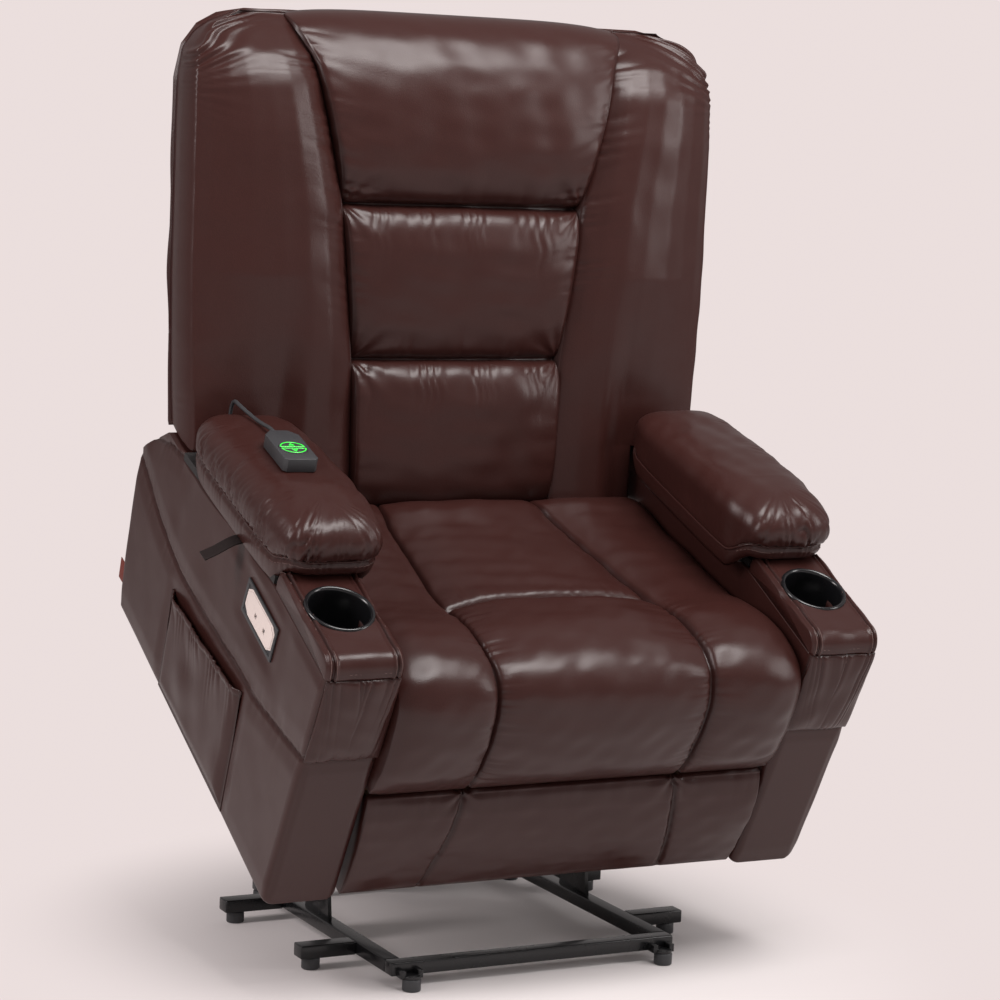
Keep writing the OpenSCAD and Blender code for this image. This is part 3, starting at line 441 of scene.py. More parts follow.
def mixed(tree, share, first, second):
    return node(tree, "ShaderNodeMix", {0: share, 6: first, 7: second}, data_type="RGBA").outputs[2]


def noise(tree, at, scale, detail=2.0, **values):
    made = node(tree, "ShaderNodeTexNoise", {"Vector": at, "Scale": scale, "Detail": detail, **values})
    return made.outputs["Fac"]


def between(tree, value, low, high, **settings):
    made = node(tree, "ShaderNodeMapRange", {"Value": value, "To Min": low, "To Max": high}, **settings)
    return made.outputs["Result"]


def object_place(tree):
    return node(tree, "ShaderNodeTexCoord").outputs["Object"]


def effect_group(name, inputs, outputs):
    """An empty effect with its named inputs and outputs."""
    tree = bpy.data.node_groups.new(name, "ShaderNodeTree")
    for label, value in inputs.items():
        kind = "NodeSocketColor" if isinstance(value, tuple) else "NodeSocketFloat"
        tree.interface.new_socket(label, in_out="INPUT", socket_type=kind).default_value = value
    for label in outputs:
        kind = "NodeSocketColor" if label == "Colour" else "NodeSocketFloat"
        tree.interface.new_socket(label, in_out="OUTPUT", socket_type=kind)
    return tree, tree.nodes.new("NodeGroupInput").outputs, tree.nodes.new("NodeGroupOutput").inputs


def leather_effect():
    """Pebbled grain, broad soft wrinkles, colour drift, and painted shade that darkens the marked seams and
    creases.
    """
    inputs = {"Colour": (0.05, 0.02, 0.018, 1), "Dark": (0.01, 0.004, 0.004, 1),
              "Grain": 620.0, "Gloss": 0.42}
    tree, given, out = effect_group("leather_surface", inputs, ("Colour", "Roughness", "Height"))
    at = object_place(tree)
    cells = node(tree, "ShaderNodeTexVoronoi", {"Vector": at, "Scale": given["Grain"], "Smoothness": 0.6},
                 feature="SMOOTH_F1").outputs["Distance"]
    folds = noise(tree, at, 34.0, 3.0, Roughness=0.55)
    drift = between(tree, noise(tree, at, 5.0, Roughness=0.5), 0.0, 0.22)
    fleck = between(tree, noise(tree, at, 420.0, 1.0, Roughness=0.5), 0.86, 1.14)
    hide = mixed(tree, drift, given["Colour"], given["Dark"])
    mottled = node(tree, "ShaderNodeVectorMath", {0: hide, "Scale": fleck}, operation="SCALE")
    # painted shade: the crease mark pulls the colour towards Dark in seams, grooves and folds, where shade
    # falls
    crease = node(tree, "ShaderNodeAttribute", attribute_name="crease").outputs["Fac"]
    crease_shade = maths(tree, "MULTIPLY", crease, 0.6)
    plug(tree, out["Colour"], mixed(tree, crease_shade, mottled.outputs["Vector"], given["Dark"]))
    plug(tree, out["Roughness"], maths(tree, "MULTIPLY_ADD", folds, 0.12, given["Gloss"]))
    plug(tree, out["Height"], maths(tree, "MULTIPLY_ADD", folds, 0.4, maths(tree, "MULTIPLY", cells, 0.35)))
    return tree


def speckle_effect():
    """Fine moulded or sprayed texture with a little colour drift."""
    inputs = {"Colour": (0.02, 0.02, 0.02, 1), "Second": (0.03, 0.03, 0.03, 1), "Size": 900.0, "Gloss": 0.3}
    tree, given, out = effect_group("fine_texture", inputs, ("Colour", "Roughness", "Height"))
    at = object_place(tree)
    broad = noise(tree, at, 14.0, 3.0)
    plug(tree, out["Colour"], mixed(tree, broad, given["Colour"], given["Second"]))
    plug(tree, out["Roughness"], maths(tree, "MULTIPLY_ADD", broad, 0.14, given["Gloss"]))
    plug(tree, out["Height"], noise(tree, at, given["Size"]))
    return tree


def thread_effect():
    """Crossing threads of a woven strap or cloth."""
    inputs = {"Colour": (0.03, 0.015, 0.012, 1), "Second": (0.06, 0.03, 0.025, 1), "Threads": 260.0}
    tree, given, out = effect_group("woven_threads", inputs, ("Colour", "Height"))
    bands = {"Vector": object_place(tree), "Scale": given["Threads"], "Distortion": 1.2, "Detail": 1.0}
    warp, weft = (node(tree, "ShaderNodeTexWave", bands, wave_type="BANDS", bands_direction=axis)
                  for axis in ("X", "Y"))
    both = maths(tree, "MULTIPLY", warp.outputs["Fac"], weft.outputs["Fac"])
    plug(tree, out["Colour"], mixed(tree, both, given["Colour"], given["Second"]))
    plug(tree, out["Height"], both)
    return tree


def wood_effect():
    """Pale board with long grain and darker streaks."""
    inputs = {"Colour": (0.55, 0.38, 0.22, 1), "Second": (0.38, 0.24, 0.13, 1)}
    tree, given, out = effect_group("board_grain", inputs, ("Colour", "Height"))
    stretch = node(tree, "ShaderNodeMapping", {"Vector": object_place(tree), "Scale": (4, 40, 60)})
    streaks = noise(tree, stretch.outputs["Vector"], 2.2, 5.0)
    plug(tree, out["Colour"], mixed(tree, streaks, given["Colour"], given["Second"]))
    plug(tree, out["Height"], streaks)
    return tree


# ---- Finishes ----


def finish(name, group, values, bump=0.1, depth=0.0005, **shader):
    """A material whose shader takes colour, roughness and bump from an effect."""
    material = bpy.data.materials.new(name)
    material.use_nodes = True
    tree = material.node_tree
    principled = tree.nodes["Principled BSDF"]
    effect = node(tree, "ShaderNodeGroup", node_tree=group)
    for key, value in values.items():
        effect.inputs[key].default_value = value
    plug(tree, principled.inputs["Base Color"], effect.outputs["Colour"])
    if "Roughness" in effect.outputs:
        plug(tree, principled.inputs["Roughness"], effect.outputs["Roughness"])
    height = effect.outputs["Height"]
    relief = node(tree, "ShaderNodeBump", {"Height": height, "Strength": bump, "Distance": depth})
    plug(tree, principled.inputs["Normal"], relief.outputs["Normal"])
    for key, value in shader.items():
        principled.inputs[key.replace("_", " ")].default_value = value
    return material


LEATHER_SURFACE, FINE_TEXTURE = leather_effect(), speckle_effect()
WOVEN, BOARD = thread_effect(), wood_effect()


def speckled(name, colour, second, gloss, bump, **shader):
    values = {"Colour": (*colour, 1), "Second": (*second, 1), "Gloss": gloss}
    return finish(name, FINE_TEXTURE, values, bump, **shader)


def woven(name, colour, second, threads, bump, roughness, **shader):
    values = {"Colour": (*colour, 1), "Second": (*second, 1), "Threads": threads}
    return finish(name, WOVEN, values, bump, Roughness=roughness, **shader)


LEATHER = finish("brown_leather", LEATHER_SURFACE, {
    "Colour": (0.038, 0.0124, 0.0104, 1), "Dark": (0.016, 0.005, 0.0042, 1), "Gloss": 0.26},
    bump=0.26, depth=0.0011, Specular_IOR_Level=0.30)
STEEL_PAINT = speckled("black_enamel", (0.006, 0.006, 0.0065), (0.010, 0.010, 0.011), 0.20, 0.05,
                       Coat_Weight=0.15, Coat_Roughness=0.15, Specular_IOR_Level=0.35)
BRIGHT_STEEL = speckled("zinc_plated_steel", (0.52, 0.53, 0.54), (0.64, 0.63, 0.60), 0.26, 0.06, Metallic=1.0)
PLASTIC = speckled("dark_moulded_plastic", (0.030, 0.031, 0.034), (0.042, 0.043, 0.046), 0.38, 0.12)
CUP_PLASTIC = speckled("gloss_black_plastic", (0.006, 0.006, 0.007), (0.011, 0.011, 0.012), 0.12, 0.03)
WHITE_PLASTIC = speckled("white_plastic", (0.80, 0.70, 0.65), (0.74, 0.64, 0.60), 0.34, 0.05)
LIT = speckled("lit_marks", (0.02, 0.55, 0.03), (0.03, 0.72, 0.05), 0.3, 0.02,
               Emission_Color=(0.02, 0.8, 0.04, 1), Emission_Strength=0.75)
THREAD = woven("thread", (0.11, 0.062, 0.055), (0.17, 0.10, 0.09), 900.0, 0.2, 0.6)
WEBBING = woven("webbing", (0.007, 0.0032, 0.003), (0.021, 0.0105, 0.0095), 260.0, 0.5, 0.66,
                Specular_IOR_Level=0.25)
TAG_CLOTH = woven("tag_cloth", (0.14, 0.022, 0.014), (0.20, 0.04, 0.026), 420.0, 0.4, 0.7)
LINING = woven("black_lining_cloth", (0.011, 0.010, 0.010), (0.022, 0.02, 0.02), 700.0, 0.3, 0.78)
BOARD_WOOD = finish("plywood", BOARD, {}, bump=0.15, Roughness=0.62)


def soft(piece, body, stands_for):
    """Covers a padded piece in leather and hides the solid it stands for."""
    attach(dressed(piece, LEATHER), body)
    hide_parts(stands_for)


def rigid(piece, body, stands_for, material):
    """Gives a hard piece its finish and hides the solid it stands for."""
    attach(dressed(piece, material), body)
    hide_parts(stands_for)

# ---- Handset cord: first of the pieces, because its route comes from the source ----

CORD_ROUTE = [(380, 237, 122), (379, 255, 120.5), (381, 290, 112), (384, 330, 108), (386, 362, 105.5),
              (386, 382, 104), (385.5, 391, 92), (385, 390, 68), (384.6, 390, 42), (384.5, 399.1, 28.8),
              (384.5, 401.7, 10)]
CORD_POINTS = 36


def handset_cord():
    line = evenly(corners_cut(corners_cut(np.array(CORD_ROUTE, float))), CORD_POINTS)[::-1]
    path = from_rim(line) * MIRROR
    piece = dressed(grid_mesh("handset_lead", tube_rings(path, 0.003, 12)), PLASTIC)
    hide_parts("handset_cord")
    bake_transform(piece)


handset_cord()

# ---- Seat cushion ----

SEAT_LINE = [(538, 230), (553, 278), (551, 300), (520, 315), (440, 322), (360, 336), (290, 347), (227, 359),
             (191, 369), (155, 384), (115, 397), (75, 402), (35, 400), (5, 388), (-14, 364), (-22, 330),
             (-23, 292), (-19, 250), (-10, 216), (0, 197)]
# Each stop of the long seams: run along the line, and half the width between them.
SEAT_SEAMS = [(40, 128), (170, 146), (370, 168), (520, 177), (800, 175)]
SEAT_HALF, SEAT_UNDER = 331.0, 197.0
SEAT_CREASE_Y = 209


def seat():
    line = curve_through(SEAT_LINE, 230)
    under = np.array([(y, SEAT_UNDER) for y in np.linspace(40, 535, 14)])
    run = np.pad(run_along(line), (0, len(under)), mode="edge")[None]
    splay = read_off(run, SEAT_SEAMS)
    t, side, x = three_columns(47, 0.55, SEAT_HALF, splay)
    grid = sheet(x, *np.vstack([line, under]).T)
    run, splay, x = (q[:, :len(line)] for q in (run, splay, x))
    inner = side == 0
    low = run[0, -1] - run  # distance from the front's lowest edge
    fade = smooth((run - 50) / 90) * smooth(low / 60)
    away = np.abs(np.abs(x) - splay)
    edge = np.where(inner, 1e3, SEAT_HALF - np.abs(x))
    out = (np.where(inner, 15 * lobe(t), 13 * lobe(t * 0.97)) - 9 * (1 - lobe(t * 0.98))) * fade
    out -= 5.0 * groove(away, 3.6) * smooth(run / 60)
    cross = run - np.interp(SEAT_CREASE_Y, line[::-1, 0], run[0, ::-1])
    middle = inner * lobe(t * 0.99, 6)
    out -= middle * (15 * groove(cross, 9) + 7 * groove(cross, 3.2))
    out += middle * 5.0 * groove(cross - 34, 26)
    out += middle * 3.4 * gathers(np.maximum(-cross - 4, 0), x, 11, reach=30, pitch=17) * (cross < 0)
    out += middle * 1.4 * gathers(np.maximum(cross - 4, 0), x, 12, reach=18, pitch=22) * (cross > 0)
    front = smooth((run - 330) / 90) * (0.35 + 0.65 * smooth((run - 400) / 80))
    puff = np.where(inner, 5.2, 2.4) * front
    out += puff * gathers(away - 3, run, 13, reach=21, pitch=16) * fade * smooth(away / 5)
    out += (1.6 * wave_noise(14, x, run, size=120) + 0.8 * wave_noise(15, x, run, size=46)) * fade
    out += 1.8 * gathers(low, x, 16, reach=26, pitch=26) * smooth(low / 8)
    out -= 3.0 * groove(edge, 12)
    crease = np.clip(groove(away, 4.5) + middle * groove(cross, 5) + 0.9 * groove(low, 6), 0, 1)
    soft(cover("seat_cushion_cover", from_chair(grid), out, crease), "chair", "seat_cushion")


seat()

# ---- Back: three middle cushions, two wings and the rear panel ----

CREASES = (209.0, 449.0)  # the heights where the middle cushions meet
BACK_LOW, BACK_TOP = -24, 745
SEAM_HALVES = [(0, 176), (209, 181), (449, 207), (560, 232), (660, 256), (745, 290)]


def seam_at(v):
    """Half the width between the two long seams at a height."""
    return read_off(v, SEAM_HALVES)


def spaced(rows):
    """Rows in order, with none closer than 0.9 mm to the one before."""
    kept = []
    for height in np.sort(rows):
        if not kept or height - kept[-1] > 0.9:
            kept.append(height)
    return np.array(kept)


def slope(share, reach):
    """A cushion's rise from its seam, which is full at the reach."""
    return 1 - (1 - np.clip(share / reach, 0, 1)) ** 2.3


def middle_front(v):
    """How far back the middle cushions' crown lies, in the back's frame."""
    first, second = CREASES
    lowest = v < first
    share = (v + np.where(lowest, -BACK_LOW, -first)) / np.where(lowest, first - BACK_LOW, second - first)
    cushions = -2 - 31 * (slope(share, np.where(lowest, 0.44, 0.68)) * slope(1 - share, 0.30)) ** 0.62
    head = -2 - 36 * (1 - (1 - np.clip((v - second) / 120, 0, 1)) ** 2.4) ** 0.62
    over = 82 - 120 * (1 - np.clip((v - 565) / 180.2, 0, 1) ** 2.15) ** 0.5
    return np.where(v < second, cushions, np.where(v < 565, head, over))


def crease_folds(x, d, half, span, k):
    """Puckers above and below a crease, and pulls that fan out of its two ends."""
    out = 4.2 * span * gathers(np.maximum(-d - 3, 0), x + 3 * np.sin((d + CREASES[k]) / 9), 21 + k,
                               reach=38, pitch=25) * smooth(-d / 12)
    out += 1.8 * span * gathers(np.maximum(d - 3, 0), x, 23 + k, reach=24, pitch=32) * smooth(d / 12)
    for end in (-half, half):
        across, along = np.abs(x - end) + 1, np.abs(d) + 1
        fan = np.sin(11 * np.arctan2(across, along)) * np.exp(-np.hypot(across, along) / 52)
        out += 1.7 * fan * smooth(np.abs(d) / 14)
    return out


def middle_cushion():
    close = np.linspace(-24, 24, 21)
    v = spaced(np.concatenate([np.linspace(BACK_LOW, BACK_TOP, 150), CREASES[0] + close, CREASES[1] + close,
                               np.linspace(690, BACK_TOP, 26)]))[:, None]
    u = eased(np.linspace(-1, 1, 121), 0.45)[None]
    flat = np.linspace(1, -1, 5)[None]
    half = seam_at(v) - 0.1
    x = u * half
    span = lobe(u * 0.985, 8)
    side_fall = 17 * (1 - lobe(u * 0.99)) * smooth((738 - v) / 60)
    sewn_in = sum(4.5 * groove(v - c, 3.0) + 4.0 * groove(v - c, 9) * span for c in CREASES)
    droop = 11 * smooth((v - 640) / 105)
    front = sheet(x, middle_front(v) + side_fall + sewn_in, v - droop * np.abs(u) ** 5)
    behind = sheet(flat * half, np.where(v < 685, 46.0, 85.5), np.minimum(v - droop * np.abs(flat) ** 5, 737))
    side = half - np.abs(x)
    above = smooth((v - 225) / 60)
    out = sum(crease_folds(x, v - c, half, span, k) for k, c in enumerate(CREASES))
    out += 3.0 * gathers(side - 2, v, 31, reach=26, pitch=23, slant=0.25) * above
    out += 1.3 * gathers(side - 2, v, 32, reach=18, pitch=20) * (1 - above)
    out *= smooth(side / 7)
    out -= 1.2 * groove(side, 5)
    waves = 1.7 * wave_noise(33, x, v * 0.7, size=130) + 0.7 * wave_noise(34, x, v, size=52)
    out += smooth(side / 10) * waves
    out *= smooth((740 - v) / 30)
    crease = np.clip(sum(groove(v - c, 5) for c in CREASES) + 0.8 * groove(side, 4), 0, 1)
    grid = np.concatenate([front, behind], 1)
    soft(cover("back_middle_cover", from_back(grid), out, crease), "back", "back_cushion")


middle_cushion()

# Each row: height, outer edge, share of the swell, and how far the front falls back.
WING_ROWS = [(-22, 444, 0.5, 0), (100, 444, 0.55, 0), (150, 447, 0.66, 0), (230, 450, 0.85, 0),
             (330, 453, 1, 0), (450, 453, 1.05, 0), (560, 453, 1, 0), (630, 452, 0.85, 3),
             (675, 445, 0.55, 14), (702, 426, 0.2, 28), (721, 397, -0.05, 42), (730, 361, -0.1, 56)]
WING_ACROSS = [(0, 0.2), (0.03, 0.36), (0.08, 0.55), (0.16, 0.78), (0.3, 0.98), (0.46, 1.0), (0.62, 0.88),
               (0.76, 0.62), (0.88, 0.3), (0.96, -0.02)]
WING_BESIDE_LID = [(-22, 0), (68, 0), (100, 0.1), (150, 0.26), (240, 0.66), (340, 1.0)]
WING_SWELL, WING_SHARE = 42, 0.96


def wing_form():
    """The wing's rings, their heights, its seam and outer edge, and how many columns are seen."""
    v = np.concatenate([np.linspace(-22, 67.5, 22), np.linspace(68, 640, 128), np.linspace(644, 734, 36)])
    outer, bulge, back = (blurred(read_off(v, WING_ROWS, k), 5)[:, None] for k in (1, 2, 3))
    v, bulge = v[:, None], bulge * WING_SWELL
    inner = seam_at(v) + 0.1
    wide = outer - inner
    p = np.linspace(0, WING_SHARE, 84)[None]
    p = 0.5 * p + WING_SHARE / 2 * (1 - np.cos(math.pi * p / WING_SHARE)) / 2
    lift = blurred(read_off(p[0], WING_ACROSS), 3)[None]
    held = np.minimum(read_off(v, WING_BESIDE_LID) * WING_SWELL, bulge) - bulge
    bulge = bulge + held * smooth((inner + p * wide - 256) / 50)
    front_y = 4 + back - lift * bulge
    turn = np.linspace(0.12, 1, 10)[None] * math.pi / 2
    edge_y = front_y[:, -1:]
    front = sheet(inner + p * wide, front_y, v)
    side = sheet(outer - 0.04 * wide * (1 - np.sin(turn)), edge_y + (52 - edge_y) * (1 - np.cos(turn)), v)
    rear = sheet(outer - row(1, 3, 40), row(70, 85.5, 85.5), v)
    closing = sheet(inner + row(30, 1, 0), row(85.5, 85.5, 60), v)
    grid = np.concatenate([front, side, rear, closing], 1)
    grid[..., 0] = np.where(v < 68, np.minimum(grid[..., 0], 326), grid[..., 0])
    beside_arm = (v >= 68) & (grid[..., 0] > 327)
    lowest = 67.5 + 0.5 * (grid[..., 1] - 4)
    grid[..., 2] = np.where(beside_arm, np.maximum(grid[..., 2], lowest), grid[..., 2])
    return grid, v, inner, outer, front.shape[1] + side.shape[1]


def wing(name, mirrored):
    grid, v, inner, outer, shown = wing_form()
    x, y = grid[:, :shown, 0], grid[:, :shown, 1]
    from_seam = x - inner
    live = smooth((v - 78) / 60)
    seed = 41 if mirrored else 51
    out = 3.6 * gathers(from_seam - 2, v, seed, reach=30, pitch=25, slant=-0.3) * smooth((v - 230) / 120)
    out += 2.2 * wave_noise(seed + 3, x * 0.8, v * 0.12, size=95) * smooth((from_seam - 10) / 40)
    out += 0.5 * wave_noise(seed + 4, x, v, size=80)
    corner = np.exp(-(np.hypot(x - (outer + 6), (v - 690) * 0.8) / 62) ** 2)
    pull = np.sin(np.arctan2(v - 610, outer + 40 - x) * 34 + 1.5 * wave_noise(seed + 5, v, size=60))
    out += 3.0 * corner * pull
    out *= live * smooth(from_seam / 7)
    out -= 1.2 * groove(from_seam, 5)
    out += 1.6 * gathers(np.maximum(60 - y, 0), v, seed + 7, reach=24, pitch=23) * live * (x > outer - 30)
    out *= smooth((736 - v) / 22)
    piece = cover(f"back_wing_{name}_cover", from_back(grid), out, groove(from_seam, 4.5), mirrored)
    soft(piece, "back", f"wing_{name}")


both_sides(wing)

PANEL_HALVES = [(-22, 326), (99.5, 326), (100, 444), (330, 453), (630, 453), (680, 443), (712, 419),
                (730, 387), (738, 343)]


def rear_panel():
    v = np.concatenate([np.linspace(-22, 99.5, 20), np.linspace(100, 698, 104), np.linspace(700, 738, 14)])
    v = v[:, None]
    half = read_off(v, PANEL_HALVES)
    x = np.linspace(-1, 1, 131)[None] * (half - 1.5)
    edge = np.minimum(half - 1.5 - np.abs(x), np.minimum(738 - v, v + 22))
    rounded = 1 - np.sqrt(1 - (1 - np.clip(edge / 9, 0, 1)) ** 2)
    seams = np.minimum(np.abs(np.abs(x) - 0.62 * half), np.abs(v - 250))
    out = 2.6 * smooth(edge / 60) - 3.2 * groove(seams, 4) + 1.5 * wave_noise(61, x, v, size=190)
    out += 1.6 * gathers(seams - 2, v + x, 62, reach=14, pitch=31)
    inside = sheet(np.linspace(1, -1, 9)[None] * half, 86.4, v)
    grid = np.concatenate([sheet(x, 100 - 7 * rounded, v), inside], 1)
    piece = cover("back_rear_cover", from_back(grid), out, 0.9 * groove(seams, 4))
    soft(piece, "back", "back_panel")


rear_panel()

# ---- Arm pads: top panel, welt and side band over each lid ----

PAD_MIDDLE = [378.0, 167.5]
PAD_HALF_W, PAD_HALF_S, PAD_BASE = 86.0, 210.5, 14.5
PAD_AROUND = 360
PAD_HEIGHTS = [(0, 84), (0.35, 97), (0.75, 108), (1, 104)]
# Each side's profile below the welt: share of the half width, then height over the lid board.
PAD_FOOT = {
    "outer": [(0.5, 0), (0.75, 0), (0.846, -0.3), (0.850, -6), (0.853, -11), (0.866, -12.5), (0.885, -11),
              (0.905, -6), (0.922, 1), (0.936, 8), (0.945, 15), (0.949, 21), (0.947, 27)],
    "inner": [(0.42, 0), (0.5, 0), (0.56, -3), (0.64, -9), (0.72, -15), (0.80, -19), (0.88, -18), (0.93, -12),
              (0.96, -6), (0.975, 0), (0.985, 5), (0.99, 10), (0.99, 14)],
    "nose": [(0.3, 0), (0.45, 0), (0.56, 4), (0.62, 10), (0.68, 14.5), (0.75, 15.5), (0.81, 16), (0.86, 18),
             (0.895, 21), (0.92, 25), (0.937, 30), (0.944, 35), (0.945, 40)],
    "rear": [(0.5, 0), (0.8, 0), (0.86, 0), (0.9, 1), (0.92, 2), (0.93, 4), (0.94, 7), (0.945, 10),
             (0.95, 13), (0.952, 15), (0.952, 17), (0.95, 19), (0.946, 21)],
}
WELT_ROW = len(PAD_FOOT["outer"]) - 1
LAST_HIDDEN = 5  # the last row of the foot that lies under the pad


def pad_height(s):
    return read_off((382 - s) / 410, PAD_HEIGHTS)


def pad_outline():
    """The pad's outline about its middle, and each side's share at its points."""
    turn = np.linspace(0, 2 * math.pi, 1440, endpoint=False)
    circle = np.stack([np.cos(turn), np.sin(turn)], -1)
    outline = [PAD_HALF_W, PAD_HALF_S] * np.sign(circle) * np.abs(circle) ** 0.42
    outline = evenly(np.vstack([outline, outline[:1]]), PAD_AROUND + 1)[:-1]
    nose, rear = smooth((-outline[:, 1] - 150) / 50), smooth((outline[:, 1] - 140) / 60)
    right = smooth((outline[:, 0] + 26) / 52)
    sides = {"outer": right * (1 - nose) * (1 - rear), "inner": (1 - right) * (1 - nose) * (1 - rear),
             "nose": nose, "rear": rear}
    return outline, sides


def pad_form(outline, sides):
    """Rings from the lid over the welt to the top, each point's share, the foot and the mid height."""
    reach = PAD_HALF_S - PAD_HALF_W
    spine = np.stack([np.zeros(PAD_AROUND), np.clip(outline[:, 1], -reach, reach)], -1)
    foot = sum(w[None, :, None] * np.array(PAD_FOOT[k])[:, None] for k, w in sides.items())

    def spread(share):
        return spine + (outline - spine) * share[..., None] + PAD_MIDDLE

    place = spread(foot[..., 0])
    top, welt, start = pad_height(place[-1, :, 1]), foot[-1, :, 1], foot[-1, :, 0]
    middle = 0.56 * top
    low = np.linspace(0, 1, 13)[1:, None]
    high = np.linspace(0, math.pi / 2, 46)[1:, None]
    share = np.vstack([start + (1 - start) * np.sin(low * math.pi / 2), np.cos(high) ** 0.72 + 0 * welt])
    h = np.vstack([welt + (middle - welt) * low ** 1.15, middle + (top - middle) * np.sin(high) ** 0.86])
    upper = spread(share)
    h = h * np.where(h > middle, pad_height(upper[..., 1]) / top, 1)
    rings = np.vstack([np.dstack([place, foot[..., 1]]), np.dstack([upper, h])])
    return rings + [0, 0, PAD_BASE], np.vstack([foot[..., 0], share]), foot, middle


def pad_relief(rings, share, foot, middle, outline, sides, seed, mirrored):
    """Gathers and soft waves over the pad, in millimetres, and the distance from its welt."""
    x, y, h = np.moveaxis(rings - [0, 0, PAD_BASE], -1, 0)
    number = np.arange(len(rings))[:, None]
    over = number > WELT_ROW
    welt = foot[-1, :, 1]
    above = np.hypot(h - welt, (1 - share) * PAD_HALF_W * (share < 1) * (h > middle)) * over
    below = np.maximum(welt - h, 0) * ~over
    outer, inner, nose = sides["outer"], sides["inner"], sides["nose"]
    sewn = 0.25 + 0.75 * outer + nose * (0.45 + 0.8 * smooth((outline[:, 0] + 30) / 50)) - 0.2 * inner
    step = np.linalg.norm(np.diff(outline, axis=0), axis=1).mean()
    along = np.broadcast_to(np.arange(PAD_AROUND) * step, h.shape)
    fine = 4.6 * sewn * gathers(above - 3, along, seed, reach=38, pitch=14, slant=0.35)
    coarse = 3.0 * (outer + nose) * gathers(above, along, seed + 4, reach=64, pitch=34, slant=-0.4)
    under = 2.2 * sewn * gathers(below - 2, along, seed + 8, reach=22, pitch=16)
    under = under * smooth((h - foot[LAST_HIDDEN, :, 1]) / 12) * (number > LAST_HIDDEN)
    from_welt = np.where(over, above, below)
    out = smooth((share - 0.12) / 0.5) * over * (fine + coarse) + ~over * under
    out -= 3.8 * groove(from_welt, 3.6) * (1 - 0.7 * inner)
    waves = 1.6 * wave_noise(seed + 9, x, y, size=110) + 0.8 * wave_noise(seed + 10, x, y, size=48)
    out += over * smooth((h - welt) / 30) * waves
    under_handset = mirrored * np.exp(-((x - 383.5) / 44) ** 4 - ((y - 168) / 76) ** 4) * over
    return out - under_handset * np.maximum(out, 0), from_welt


def pad_welt(shape, normal, mirrored):
    """The corded edge between the pad's side band and its top panel."""
    line = np.vstack([shape, shape[:1]]) + np.vstack([normal, normal[:1]]) * 0.0012
    line = evenly(line, 321)[:-1]
    ring = tube_rings(np.vstack([line[-1:], line, line[:1]]), 0.0019, 8)[1:-1]
    return grid_mesh("pad_welt", np.vstack([ring, ring[:1]]), ends=(), mirrored=mirrored)


def arm_pad(name, mirrored):
    outline, sides = pad_outline()
    rings, share, foot, middle = pad_form(outline, sides)
    out, from_welt = pad_relief(rings, share, foot, middle, outline, sides, 71 if mirrored else 91, mirrored)
    crease = groove(from_welt, 3.6) * (1 - 0.8 * sides["inner"])
    flat = from_rim(rings)
    up = from_rim(np.array([0, 0, 1000.0])) - from_rim(np.zeros(3))
    sure = smooth((share - 0.03) / 0.25)[..., None]
    normal = unit(grid_normals(flat) * sure + up * (1 - sure))
    shape = flat + normal * (out / 1000)[..., None]
    top = grid_mesh(f"arm_pad_{name}_cover", shape, crease, ends=(0,), mirrored=mirrored)
    piece = joined(f"arm_pad_{name}_cover", [top, pad_welt(shape[WELT_ROW], normal[WELT_ROW], mirrored)])
    soft(piece, f"lid_{name}", f"arm_pad_{name}")
    flip = MIRROR if mirrored else 1
    keep = np.nonzero(sides["inner"] < 0.5)[0]
    if np.diff(keep).max() > 1:
        keep = np.roll(keep, -int(np.argmax(np.diff(keep)) + 1))
    lines = [((shape[k] + shape[k + 1])[keep] / 2 * flip, (normal[k] + normal[k + 1])[keep] / 2 * flip)
             for k in (WELT_ROW + 1, WELT_ROW - 2)]
    stitches(f"arm_pad_{name}_stitches", lines, f"lid_{name}", length=4.2, pitch=7.5)


both_sides(arm_pad)

# ---- Arms ----

SIDE_SEAM = np.array([(0, 272), (11, 269), (100, 248), (184, 232), (277, 226), (340, 218), (424, 211),
                      (519, 208), (575, 215), (631, 226), (700, 247), (770, 268)], float)
REAR_SEAM = np.array([(600, 362), (608, 360), (650, 350), (690, 332), (712, 320)], float)
POCKET = np.array([(194, 8), (497, 5), (523, 172), (223, 212)], float)
USB_Y, USB_Z = 226, 343
# Each stop of the top edge: share of the arm's length, then how far back it is and how high.
ARM_TOP = [(0, 0, 412), (0.29, 215, 412), (0.80, 599, 358), (0.81, 603, 362.5), (0.88, 667, 363),
           (0.94, 716, 315), (1.0, 759, 264)]
ARM_FOOT = 705
ARM_RADIUS = 11.0
ARM_MIDDLE = (ARM_IN + ARM_OUT) / 2
FRONT_SEAM_Z = 268
# Each soft hollow: how far back it is at a height of 300, its lean and its width.
HOLLOWS = ((262, -0.5, 26), (120, 0.25, 30), (430, -0.35, 34), (560, -0.2, 26))


def line_distance(y, z, line):
    """Distance from a line of points on the arm's side."""
    best = np.full(np.broadcast(y, z).shape, 1e9)
    for a, b in zip(line[:-1], line[1:]):
        d = b - a
        t = np.clip(((y - a[0]) * d[0] + (z - a[1]) * d[1]) / (d @ d), 0, 1)
        best = np.minimum(best, np.hypot(y - a[0] - t * d[0], z - a[1] - t * d[1]))
    return best


def inside_share(y, z, corners, margin):
    """1 inside the outline, falling to 0 at margin outside it."""
    closed = np.vstack([corners, corners[:1]])
    inside = np.ones(np.broadcast(y, z).shape, bool)
    for a, b in zip(closed[:-1], closed[1:]):
        inside &= (b[0] - a[0]) * (z - a[1]) - (b[1] - a[1]) * (y - a[0]) >= 0
    return np.where(inside, 1, 1 - smooth(line_distance(y, z, closed) / margin))


def arm_side(a, b):
    """How far back and how high a place is: a runs from front to rear and b from bottom to top."""
    top_y, top_z = (read_off(a, ARM_TOP, k) for k in (1, 2))
    return ARM_FOOT * a + (top_y - ARM_FOOT * a) * b, top_z * b


